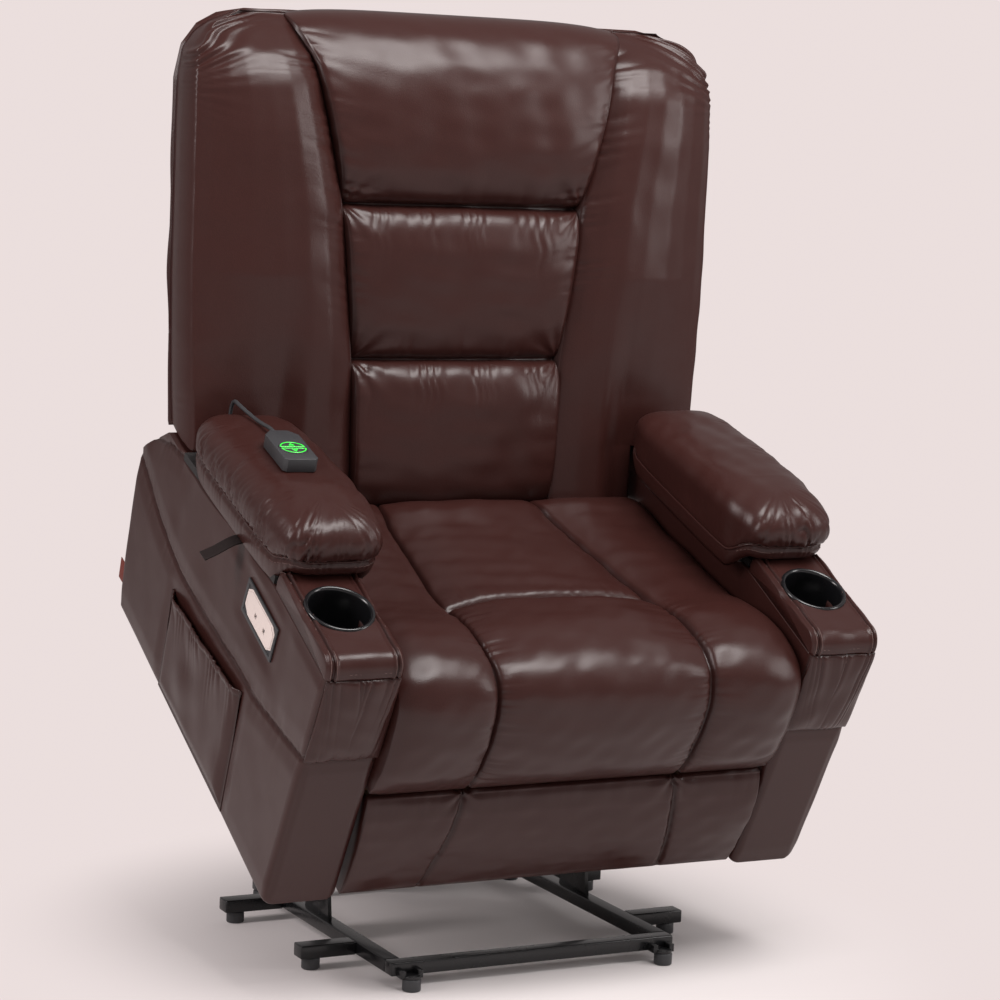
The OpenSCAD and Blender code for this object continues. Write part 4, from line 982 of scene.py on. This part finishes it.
def arm_plan():
    """The arm's outline from above: x, share of the length, and the shift at its rounded corners."""
    lengthways = np.linspace(0, 1, 170)
    r = ARM_RADIUS
    corner = [(r * math.sin(q), r * math.cos(q)) for q in np.linspace(0, math.pi / 2, 7)]
    loop = [(ARM_OUT, a, 0) for a in lengthways[3:-3]]
    loop += [(ARM_OUT - r + c, 1, s - r) for s, c in corner]
    loop += [(x, 1, 0) for x in np.linspace(ARM_OUT - r, ARM_IN + r, 9)[1:-1]]
    loop += [(ARM_IN + r - s, 1, c - r) for s, c in corner]
    loop += [(ARM_IN, a, 0) for a in lengthways[-4:2:-4]]
    loop += [(ARM_IN + r - c, 0, r - s) for s, c in corner]
    loop += [(x, 0, 0) for x in np.linspace(ARM_IN + r, ARM_OUT - r, 33)[1:-1]]
    loop += [(ARM_OUT - r + s, 0, r - c) for s, c in corner]
    return np.array(loop, float).T[:, None]


def arm_relief(x, y, z, seed):
    """The arm's soft panels and seams, in millimetres, and the mark of its creases, where the leather gets
    painted shade.
    """
    outside = smooth((x - ARM_OUT + 8) / 6)
    seam_d = np.minimum(line_distance(y, z, SIDE_SEAM), line_distance(y, z, REAR_SEAM))
    flat = inside_share(y, z, POCKET, 30)
    flat = np.maximum(flat, np.exp(-((y - USB_Y) / 82) ** 6 - ((z - USB_Z) / 46) ** 6))
    flat = np.maximum(flat, np.exp(-((y - 345) / 40) ** 4 - ((z - 392) / 26) ** 4))
    rise = smooth(z / 40) * smooth((RIM_Z - z) / 24)
    waves = 0.8 * wave_noise(seed, y, z, size=240) + 0.25 * wave_noise(seed + 1, y, z, size=90)
    out = outside * rise * (1 - flat) * (3.0 * smooth(seam_d / 40) + waves)
    out -= outside * 4.0 * groove(seam_d, 2.8)
    out += outside * 1.3 * (1 - flat) * gathers(seam_d - 2, y, seed + 2, reach=15, pitch=27)
    # soft hollows that run down from the lid and the console to the seam
    for at, lean, width in HOLLOWS:
        hollow = rise * groove(y - at - lean * (z - 300), width) * smooth((z - 235) / 50)
        out -= outside * (1 - flat) * 1.8 * hollow
    in_front = smooth((9 - y) / 6) * smooth((x - ARM_IN - 6) / 8) * smooth((ARM_OUT - 6 - x) / 8)
    panel = 1.6 * smooth(z / 30) * smooth((FRONT_SEAM_Z - 6 - z) / 20)
    out += in_front * (panel - 2.2 * groove(z - FRONT_SEAM_Z, 3.0))
    crease = np.clip(outside * groove(seam_d, 2.6) + in_front * 0.8 * groove(z - FRONT_SEAM_Z, 2.4), 0, 1)
    return out, crease


def arm_lining(around, a):
    """Rings that turn the skin in over the bin's rim and down inside the arm."""
    top_y, top_z = arm_side(a, 1.0)
    y, z = arm_side(a, np.array([1.0, 0.97, 0.7, 0.4, 0.05])[:, None])
    closing = around + (ARM_MIDDLE - around) * np.arange(1, 6)[:, None] / 5
    behind = a > 0.805
    return sheet(np.where(behind, closing, np.clip(around, ARM_IN + 15, ARM_OUT - 15)),
                 np.where(behind, top_y, np.clip(y, 15, 598)), np.where(behind, top_z, z))


def arm_shell(name, mirrored):
    levels = np.concatenate([[0.0, 0.004, 0.012, 0.024], np.linspace(0.04, 0.97, 100), [0.985, 0.995, 1.0]])
    around, a, shift = arm_plan()
    b = levels[:, None]
    y, z = arm_side(a, b)
    y = y + shift
    sink = np.maximum(0, 1 - b / 0.024) ** 2 * 6
    x = around - np.sign(around - ARM_MIDDLE) * np.minimum(sink, np.abs(around - ARM_MIDDLE))
    out, crease = arm_relief(x, y, z, 111 if mirrored else 121)
    lining = from_chair(arm_lining(around, a))
    skin = np.concatenate([push(from_chair(sheet(x, y, z)), out), lining])
    crease = np.concatenate([crease, np.zeros(lining.shape[:2])])
    piece = grid_mesh(f"arm_{name}_cover", skin, crease, mirrored=mirrored)
    soft(piece, "chair", f"arm_shell_{name}")


both_sides(arm_shell)

POUCH_HIGH = 144


def front_pouch(name, mirrored):
    x = np.linspace(ARM_IN + 1, ARM_OUT - 1, 116)[:, None]
    q = np.linspace(0, 1, 84)[None]
    t = (x - CUP_X) / 57
    z = FRONT_SEAM_Z + q * POUCH_HIGH
    depth = 11.5 * lobe(t * 0.99) * lobe(2 * q - 1, 3.2)
    grid = np.concatenate([sheet(x, -1.2 - depth, z), sheet(x, -0.3, row(412, 340, FRONT_SEAM_Z))], 1)
    seed = 131 if mirrored else 141
    down, up = (1 - q) * POUCH_HIGH, q * POUCH_HIGH
    out = 4.2 * gathers(down, x + 0.12 * down * np.sign(t), seed, reach=62, pitch=15) * smooth(down / 5)
    out += 1.5 * gathers(up, x, seed + 3, reach=22, pitch=24)
    out += 1.2 * wave_noise(seed + 4, x, z, size=48)
    out *= lobe(t * 0.98, 5)
    crease = np.clip(groove(down, 4) + groove(up, 3), 0, 1)
    return cover(f"pouch_{name}", from_chair(grid), out, crease, mirrored)


soft(joined("front_pouch_covers", both_sides(front_pouch)), "chair", "front_pouches")

CAP_HALF, CAP_LOW, CAP_HIGH, CAP_LONG = 57.3, 412.4, 441, 150
CUP_HOLE = 0.0462


def cap_form():
    """The cap's rings across its width, with edges drawn in, and the shares of the half width."""
    arc = [(22 - 22 * math.sin(q), CAP_HIGH - 22 + 22 * math.cos(q)) for q in np.linspace(0, math.pi / 2, 18)]
    profile = [(213, CAP_LOW), (214, 425), (212, 436), (204, CAP_HIGH)]
    profile += [(y, CAP_HIGH) for y in np.linspace(196, 26, 62)] + arc + [(-0.5, 415.5), (0.2, CAP_LOW)]
    under = [(y, CAP_LOW) for y in np.linspace(8, 206, 12)]
    loop = np.vstack([evenly(np.array(profile), CAP_LONG), under])
    rounded = np.array([0.955, 0.975, 0.99, 0.998, 1])
    u = np.concatenate([-rounded[::-1], np.linspace(-0.93, 0.93, 88), rounded])[:, None]
    edge = np.minimum(CAP_HALF * (1 - np.abs(u)), 13)
    inset = 6.5 * (1 - np.sqrt(1 - (1 - edge / 13) ** 2)) * (np.arange(len(loop)) < CAP_LONG)
    yz = loop - unit(loop - [110.0, 424.0]) * inset[..., None]
    return sheet(CUP_X + u * CAP_HALF, yz[..., 0], yz[..., 1]), loop, u


def cup_cut(piece, flip):
    """The cup well's hole, cut square to the cap."""
    bpy.ops.object.select_all(action="DESELECT")
    bpy.ops.mesh.primitive_cylinder_add(vertices=96, radius=CUP_HOLE, depth=0.09)
    cutter = bpy.context.object
    centre = from_chair(np.array([CUP_X, CUP_Y, 428.0])) * flip
    cutter.data.transform(Matrix.Translation(Vector(centre)) @ Matrix.Rotation(LIFT, 4, "X"))
    cutter.hide_render = True
    apply_modifier(piece, "BOOLEAN", operation="DIFFERENCE", solver="EXACT", object=cutter)
    bpy.data.objects.remove(cutter)


def cap_stitches(name, top, normal, u, flip):
    """Two rows along each side of the cap, and two across the band of its front."""
    lines = []
    seen = slice(6, 146)
    for side in (-1, 1):
        for off in (5.6, 12.4):
            k = int(np.argmin(np.abs(u[:, 0] - side * (1 - off / CAP_HALF))))
            lines.append((top[k, seen] * flip, normal[k, seen] * flip))
    band_x = np.linspace(ARM_IN + 5, ARM_OUT - 5, 30)
    ahead = np.broadcast_to([0, -math.cos(LIFT), -math.sin(LIFT)], (30, 3))
    lines += [(from_chair(sheet(band_x, -0.9, height)) * flip, ahead) for height in (417.4, 421.6)]
    stitches(f"console_cap_{name}_stitches", lines, "chair", length=4.0, pitch=6.6)


def console_cap(name, mirrored):
    grid, loop, u = cap_form()
    top_y = loop[None, :CAP_LONG, 0]
    run = run_along(loop)[None, :CAP_LONG]
    seam = np.abs(CAP_HALF * (1 - np.abs(u)) - 9.0)
    out = 2.0 * lobe(u * 0.9, 4) - 3.0 * groove(seam, 1.6) + 1.9 * groove(seam - 4.0, 2.2)
    out = (out + 0.8 * wave_noise(151, CUP_X + u * CAP_HALF, top_y, size=60)) * smooth(run / 14)
    crease = 0.9 * groove(seam, 1.6)
    shape = from_chair(grid)
    normal = grid_normals(shape)
    piece = cover(f"console_cap_{name}_cover", shape, out, crease, mirrored)
    flip = MIRROR if mirrored else 1
    cup_cut(piece, flip)
    soft(piece, "chair", f"console_cap_{name}")
    top = shape[:, :CAP_LONG] + normal[:, :CAP_LONG] * (out / 1000)[..., None]
    cap_stitches(name, top, normal, u, flip)


both_sides(console_cap)

POCKET_LONG, POCKET_HIGH = 300, 170
POCKET_THICK = 2.6


def side_pocket(_, mirrored):
    a = np.linspace(0, 1, 110)[:, None]
    b = np.linspace(0, 1, 76)[None]
    low = POCKET[0] + (POCKET[1] - POCKET[0]) * a[..., None]
    top = POCKET[3] + (POCKET[2] - POCKET[3]) * a[..., None]
    y, z = np.moveaxis(low + (top - low) * b[..., None], -1, 0)
    edge = np.minimum(np.minimum(a, 1 - a) * POCKET_LONG, b * POCKET_HIGH)
    seed = 161 if mirrored else 171
    down = (1 - b) * POCKET_HIGH + 0 * a
    along = a * POCKET_LONG + 0 * b
    stand = 0.8 + 8.0 * smooth(edge / 26)
    pucker = 3.2 * gathers(down - 8, along, seed, reach=24, pitch=17, slant=0.3) * smooth(edge / 22)
    hem = 1.6 * smooth((9 - down) / 2) + 0.9 * groove(down - 3, 3)
    wave = 1.5 * wave_noise(seed + 5, y, z, size=90) * smooth(edge / 40)
    dip = 2.0 * groove(edge - 5, 2.4)
    outward = ARM_OUT + np.clip(stand + pucker + hem + wave - dip, 0.6, 13)
    z = z + 0.6 * wave_noise(seed + 6, along, size=90) * smooth((20 - down) / 20)
    z = z - 3 * lobe(2 * a - 1) * smooth((30 - down) / 30)
    behind = sheet(np.maximum(outward - POCKET_THICK, ARM_OUT + 0.1), y, z)[:, ::-1]
    grid = np.concatenate([sheet(outward, y, z), behind], 1)
    crease = np.clip(groove(edge - 5, 2.2) + groove(edge, 2.5) + 0.8 * groove(down - 9, 1.6), 0, 1)
    crease = np.concatenate([crease, np.zeros(edge.shape)], 1)
    return grid_mesh("pocket", from_chair(grid), crease, mirrored=mirrored)


soft(joined("side_pocket_panels", both_sides(side_pocket)), "chair", "side_pockets")

# ---- Footrest pad ----

REST_HALF, REST_HIGH, REST_LOW = 329.0, 180, 6
# Each stop of the front: share of the height, how far forward it is, and the share of its crown.
REST_FRONT = [(0, 2, 0), (0.05, -2, 0.35), (0.2, -8, 0.75), (0.42, -12, 1), (0.62, -12, 1), (0.82, -9, 0.8),
              (0.95, -3, 0.45), (1, 3, 0)]


def footrest_pad():
    q = np.linspace(0, 1, 90)[None]
    seam = 204 + (176 - 204) * q
    t, _, x = three_columns(45, 0.5, REST_HALF, seam)
    base, full = (blurred(read_off(q[0], REST_FRONT, k), 4)[None] for k in (1, 2))
    z = REST_LOW + q * REST_HIGH
    front = sheet(x, base - 5.5 * lobe(t * 0.985) * full + 2, z)
    behind = sheet(x[:, [-1, 45, 0]], 24, row(186, 96, REST_LOW))
    off = np.abs(x) - seam
    away = np.abs(off)
    top_d = (1 - q) * REST_HIGH + 0 * x
    out = -4.0 * groove(away, 4.0) + 1.5 * gathers(away - 2, z + 0 * x, 181, reach=15, pitch=30)
    out += 1.8 * gathers(top_d - 2, x, 182, reach=26, pitch=33)
    out += 1.5 * wave_noise(183, x, z, size=110) + 0.5 * wave_noise(184, x, z, size=45)
    for end in (-seam, seam):  # pulls that fan out of each seam's top end
        fan = np.sin(7 * np.arctan2(np.abs(x - end) + 1, top_d + 1))
        out += 2.2 * fan * np.exp(-(np.hypot(x - end, top_d) + 1) / 34)
    out *= smooth((q + 0.02) / 0.06)
    grid = np.concatenate([front, behind], 1)
    piece = cover("footrest_pad_cover", from_chair(grid), out, groove(away, 4.0))
    soft(piece, "footrest", "ottoman_pad")


footrest_pad()

# ---- Rigid pieces: softened copies of the plain solids ----

EDGE = {"limit_method": "ANGLE", "angle_limit": math.radians(38)}


def shade_at(degrees):
    bpy.ops.object.shade_smooth_by_angle(angle=math.radians(degrees))


def softened(node_name, piece_name, body, material, width):
    """A copy of a rigid solid with its edges rounded as the real part's are."""
    piece = bpy.data.objects.new(piece_name, NODES[node_name].data.copy())
    bpy.context.scene.collection.objects.link(piece)
    work = bmesh.new()
    work.from_mesh(piece.data)
    bmesh.ops.remove_doubles(work, verts=work.verts, dist=2e-6)
    bmesh.ops.dissolve_limit(work, angle_limit=math.radians(1.0), verts=work.verts, edges=work.edges)
    work.to_mesh(piece.data)
    work.free()
    apply_modifier(piece, "BEVEL", width=width, segments=3, use_clamp_overlap=True, **EDGE)
    shade_at(36)
    rigid(piece, body, node_name, material)


def painted(body, width, *names):
    for name in names:
        softened(name, f"{name}_painted", body, STEEL_PAINT, width)


painted("base", 0.0024, "base_rails", "base_front_bar", "base_rear_bar", "outriggers")
painted("base", 0.0010, "foot_brackets")
painted("base", 0.0009, "lift_posts", "motor_bracket")
softened("glide_feet", "glide_feet_moulded", "base", PLASTIC, 0.002)
painted("lift_arm", 0.0009, "lift_arms", "torque_tube", "drive_crank")
painted("chair", 0.0009, "frame_plates", "frame_tubes")
painted("back", 0.0009, "back_brackets")
painted("foot_lower", 0.0009, "foot_links_lower")
painted("foot_upper", 0.0009, "foot_links_upper")
softened("motor_housing", "motor_housing_moulded", "motor", PLASTIC, 0.004)
softened("motor_tube", "motor_tube_plated", "motor", BRIGHT_STEEL, 0.0008)
softened("control_box", "control_box_moulded", "chair", PLASTIC, 0.003)
softened("storage_bins", "storage_bins_moulded", "chair", PLASTIC, 0.001)
softened("usb_plate", "usb_plate_moulded", "chair", WHITE_PLASTIC, 0.0009)
softened("handset_body", "handset_case", "lid_left", PLASTIC, 0.0022)
softened("button_up", "handset_key_up", "up_button", PLASTIC, 0.0008)
softened("button_down", "handset_key_down", "down_button", PLASTIC, 0.0008)
softened("maker_tag", "sewn_tag", "chair", TAG_CLOTH, 0.0004)

PLAIN = ((BRIGHT_STEEL, ("tilt_pins", "motor_rod", "frame_pins", "seat_springs", "lid_hinges",
                         "lid_leaf_left", "lid_leaf_right", "foot_link_pins")),
         (BOARD_WOOD, ("seat_frame", "back_frame", "ottoman_board")),
         (PLASTIC, ("power_inlet", "cord_gland")),
         (LINING, ("lid_board_left", "lid_board_right")))
for material, names in PLAIN:
    for name in names:
        dressed(NODES[name], material)

# ---- Cup holders: a spun wall with a rolled rim ----

# Each stop of the wall: radius and height over the cap, from the middle of the floor out and back under it.
CUP_WALL = [(0, -72.0), (30, -72.0), (38, -71.0), (42.6, -66), (44, -60), (44.0, -4), (44.3, 0.2),
            (45.6, 3.0), (48.2, 4.3), (50.6, 3.6), (51.8, 1.4), (51.6, -0.2), (46.0, -0.4), (45.5, -2),
            (45.5, -62), (44.0, -70), (38, -73.4), (0, -73.5)]
CUP_SEAT_Z = 441.6


def cup_holder(_, mirrored):
    mesh = bpy.data.meshes.new("cup")
    wall = [(r / 1000, 0, z / 1000) for r, z in CUP_WALL]
    mesh.from_pydata(wall, [(i, i + 1) for i in range(len(wall) - 1)], [])
    piece = bpy.data.objects.new("cup", mesh)
    bpy.context.scene.collection.objects.link(piece)
    select_only(piece)
    bpy.ops.object.mode_set(mode="EDIT")
    bpy.ops.mesh.select_all(action="SELECT")
    bpy.ops.mesh.spin(steps=72, angle=2 * math.pi, center=(0, 0, 0), axis=(0, 0, 1))
    bpy.ops.mesh.select_all(action="SELECT")
    bpy.ops.mesh.remove_doubles(threshold=1e-5)
    bpy.ops.object.mode_set(mode="OBJECT")
    normals_outwards()
    apply_modifier(piece, "SUBSURF", levels=1, render_levels=1)
    shade_at(50)
    centre = from_chair(np.array([CUP_X, CUP_Y, CUP_SEAT_Z])) * (MIRROR if mirrored else 1)
    piece.data.transform(Matrix.Translation(Vector(centre)) @ Matrix.Rotation(LIFT, 4, "X"))
    return piece


rigid(joined("cup_holders_spun", both_sides(cup_holder)), "chair", "cup_holders", CUP_PLASTIC)

# ---- Lit marks on the handset keys ----

HANDSET_AT = np.array([383.5, 168.0, 116.73])
HANDSET_TILT, HANDSET_TURN = math.radians(-3.84), math.radians(3)
MARK_FLAT = Matrix.Scale(0.5, 4, (0, 0, 1))


def from_handset(points):
    """Points of the handset's frame: x across it, y up its face, z square to the pad."""
    x, y, z = np.moveaxis(np.asarray(points, float), -1, 0)
    x, y = turned(x, y, HANDSET_TURN)
    y, z = turned(y, z, HANDSET_TILT)
    return from_rim(np.stack([x, y, z], -1) + HANDSET_AT) * MIRROR


def mark_ring():
    """A flat half ring, cut at its straight edge and closed there."""
    bpy.ops.object.select_all(action="DESELECT")
    bpy.ops.mesh.primitive_torus_add(major_radius=18.6, minor_radius=0.85, major_segments=48,
                                     minor_segments=6)
    ring = bpy.context.object
    ring.data.transform(MARK_FLAT)
    select_only(ring)
    bpy.ops.object.mode_set(mode="EDIT")
    bpy.ops.mesh.select_all(action="SELECT")
    bpy.ops.mesh.bisect(plane_co=(0, 2.6, 0), plane_no=(0, 1, 0), clear_inner=True, use_fill=True)
    bpy.ops.object.mode_set(mode="OBJECT")
    return ring


def mark_bar():
    bpy.ops.object.select_all(action="DESELECT")
    bpy.ops.mesh.primitive_cylinder_add(vertices=6, radius=0.8, depth=36, rotation=(0, math.pi / 2, 0),
                                        location=(0, 3.0, 0))
    bpy.ops.object.transform_apply(location=True, rotation=True)
    bpy.context.object.data.transform(MARK_FLAT)
    return bpy.context.object


def mark_arrow():
    bpy.ops.object.select_all(action="DESELECT")
    bpy.ops.mesh.primitive_cylinder_add(vertices=3, radius=5.4, depth=0.8, location=(0, 9.6, 0))
    bpy.ops.object.transform_apply(location=True)
    arrow = bpy.context.object
    apply_modifier(arrow, "BEVEL", width=0.25, segments=2)
    return arrow


def key_marks(name, body, half_turn):
    """A half ring, a bar along the key's straight edge and an arrow, raised a little."""
    piece = joined(name, [mark_ring(), mark_bar(), mark_arrow()])
    points = vertices_of(piece) * half_turn
    placed(piece, from_handset(points + [0, -12, 21.0]))
    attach(dressed(piece, LIT), body)


key_marks("handset_mark_up", "up_button", [1, 1, 1])
key_marks("handset_mark_down", "down_button", [-1, -1, 1])

# ---- Dark bezel round the USB plate ----

BEZEL_LONG, BEZEL_HIGH, BEZEL_THICK = 62.2, 29.2, 1.75  # half sizes
CUT_LONG, CUT_HIGH = 17.4, 12.8


def usb_bezel():
    """A tray with cut corners and a rounded lip, shaped flat and then set upright on the left arm."""
    stretch = CUT_LONG / CUT_HIGH  # the corners are cut at 45 degrees first and then drawn out
    bpy.ops.object.select_all(action="DESELECT")
    bpy.ops.mesh.primitive_cube_add(size=2, location=(0, 0, 0))
    piece = bpy.context.object
    piece.name = "usb_bezel"
    bpy.ops.object.mode_set(mode="EDIT")
    bpy.ops.transform.resize(value=(BEZEL_LONG / stretch, BEZEL_HIGH, BEZEL_THICK))
    select_parts(piece, edges=lambda p, q: abs(p.z - q.z) > 1)
    bpy.ops.mesh.bevel(offset=CUT_HIGH, offset_type="OFFSET", segments=1)
    bpy.ops.mesh.select_all(action="SELECT")
    bpy.ops.transform.resize(value=(stretch, 1, 1))
    select_parts(piece, faces=lambda normal: normal.z > 0.9)
    bpy.ops.mesh.inset(thickness=5.8, depth=0)
    bpy.ops.mesh.extrude_region_move(TRANSFORM_OT_translate={"value": (0, 0, -2.7)})
    bpy.ops.object.mode_set(mode="OBJECT")
    apply_modifier(piece, "BEVEL", width=1.2, segments=4, **EDGE)
    shade_at(36)
    along, up, out = vertices_of(piece).T
    placed(piece, from_chair(sheet(-(ARM_OUT + 1.95 + out), USB_Y + along, USB_Z + up)))
    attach(dressed(piece, PLASTIC), "chair")


usb_bezel()

# ---- Pull tabs: a folded strap sewn under each lid ----

TAB_LONG, TAB_HALF, TAB_Y = 57, 12.5, 130.5


def pull_tab(name, mirrored):
    reach = np.linspace(0, 1, 40)
    line = sheet(ARM_OUT + 0.8 + TAB_LONG * reach, 4.2 - 27 * reach ** 1.35 + 1.2 * np.sin(reach * 7))
    ahead = unit(np.gradient(line, axis=0))
    square = np.stack([-ahead[:, 1], ahead[:, 0]], -1)
    thick = 1.5 + 0.5 * groove(reach - 0.12, 0.05) + 0.35 * groove(reach - 0.97, 0.03)
    half = TAB_HALF * (1 - 0.03 * np.sin(reach * math.pi))
    turn = np.linspace(0, 2 * math.pi, 24, endpoint=False)
    c, s = np.cos(turn), np.sin(turn)
    w = half[:, None] * np.sign(c) * np.abs(c) ** 0.25
    t = thick[:, None] * np.sign(s) * np.abs(s) ** 0.7
    x, h = np.moveaxis(line[:, None] + square[:, None] * t[..., None], -1, 0)
    piece = grid_mesh(f"pull_tab_{name}_strap", from_rim(sheet(x, TAB_Y + w, h)), mirrored=mirrored)
    rigid(piece, f"lid_{name}", f"pull_tab_{name}", WEBBING)


both_sides(pull_tab)

# ---- Floor, backdrop and world ----

BACKDROP = (0.83, 0.735, 0.725, 1)
GLOSS_SHARE = 0.17  # share of the backdrop's brightness that reflections see
SHADE_FROM, SHADE_TO = 0.31, 0.80  # metres from the middle where the floor passes into the backdrop


def sees_backdrop(tree):
    """1 for the camera and through clear things, and the gloss share for reflections."""
    rays = node(tree, "ShaderNodeLightPath").outputs
    gloss = maths(tree, "MULTIPLY", rays["Is Glossy Ray"], GLOSS_SHARE)
    seen = maths(tree, "MAXIMUM", rays["Is Camera Ray"], gloss)
    return maths(tree, "MAXIMUM", seen, rays["Is Transmission Ray"])


def shown_by(tree, share, lit, plain, output):
    """Shows the lit look, or the plain one by its share."""
    mix = node(tree, "ShaderNodeMixShader", {0: share, 1: lit.outputs[0], 2: plain.outputs[0]})
    plug(tree, tree.nodes[output].inputs["Surface"], mix.outputs[0])


def floor():
    bpy.ops.object.select_all(action="DESELECT")
    bpy.ops.mesh.primitive_plane_add(size=60, location=(0, 0, -0.0005))
    plane = bpy.context.object
    plane.name = "floor"
    material = bpy.data.materials.new("pale_floor")
    material.use_nodes = True
    tree = material.node_tree
    lit = tree.nodes["Principled BSDF"]
    at = object_place(tree)
    tone = mixed(tree, noise(tree, at, 0.5), (0.82, 0.775, 0.77, 1), (0.80, 0.755, 0.75, 1))
    for name, value in (("Base Color", tone), ("Roughness", 0.85), ("Specular IOR Level", 0.2)):
        plug(tree, lit.inputs[name], value)
    reach = node(tree, "ShaderNodeVectorMath", {0: at}, operation="LENGTH").outputs["Value"]
    far = node(tree, "ShaderNodeMapRange", {"Value": reach, "From Min": SHADE_FROM, "From Max": SHADE_TO,
                                            "To Min": 0.05, "To Max": 1.0}, interpolation_type="SMOOTHSTEP")
    share = maths(tree, "MULTIPLY", sees_backdrop(tree), far.outputs["Result"])
    plain = node(tree, "ShaderNodeEmission", {"Color": BACKDROP})
    shown_by(tree, share, lit, plain, "Material Output")
    dressed(plane, material)


def studio():
    world = bpy.data.worlds.new("studio")
    bpy.context.scene.world = world
    world.use_nodes = True
    tree = world.node_tree
    light = tree.nodes["Background"]
    light.inputs["Color"].default_value = (1.0, 0.955, 0.95, 1)
    light.inputs["Strength"].default_value = 0.24
    plain = node(tree, "ShaderNodeBackground", {"Color": BACKDROP})
    shown_by(tree, sees_backdrop(tree), light, plain, "World Output")


floor()
studio()
bpy.context.scene.view_settings.view_transform = "Standard"
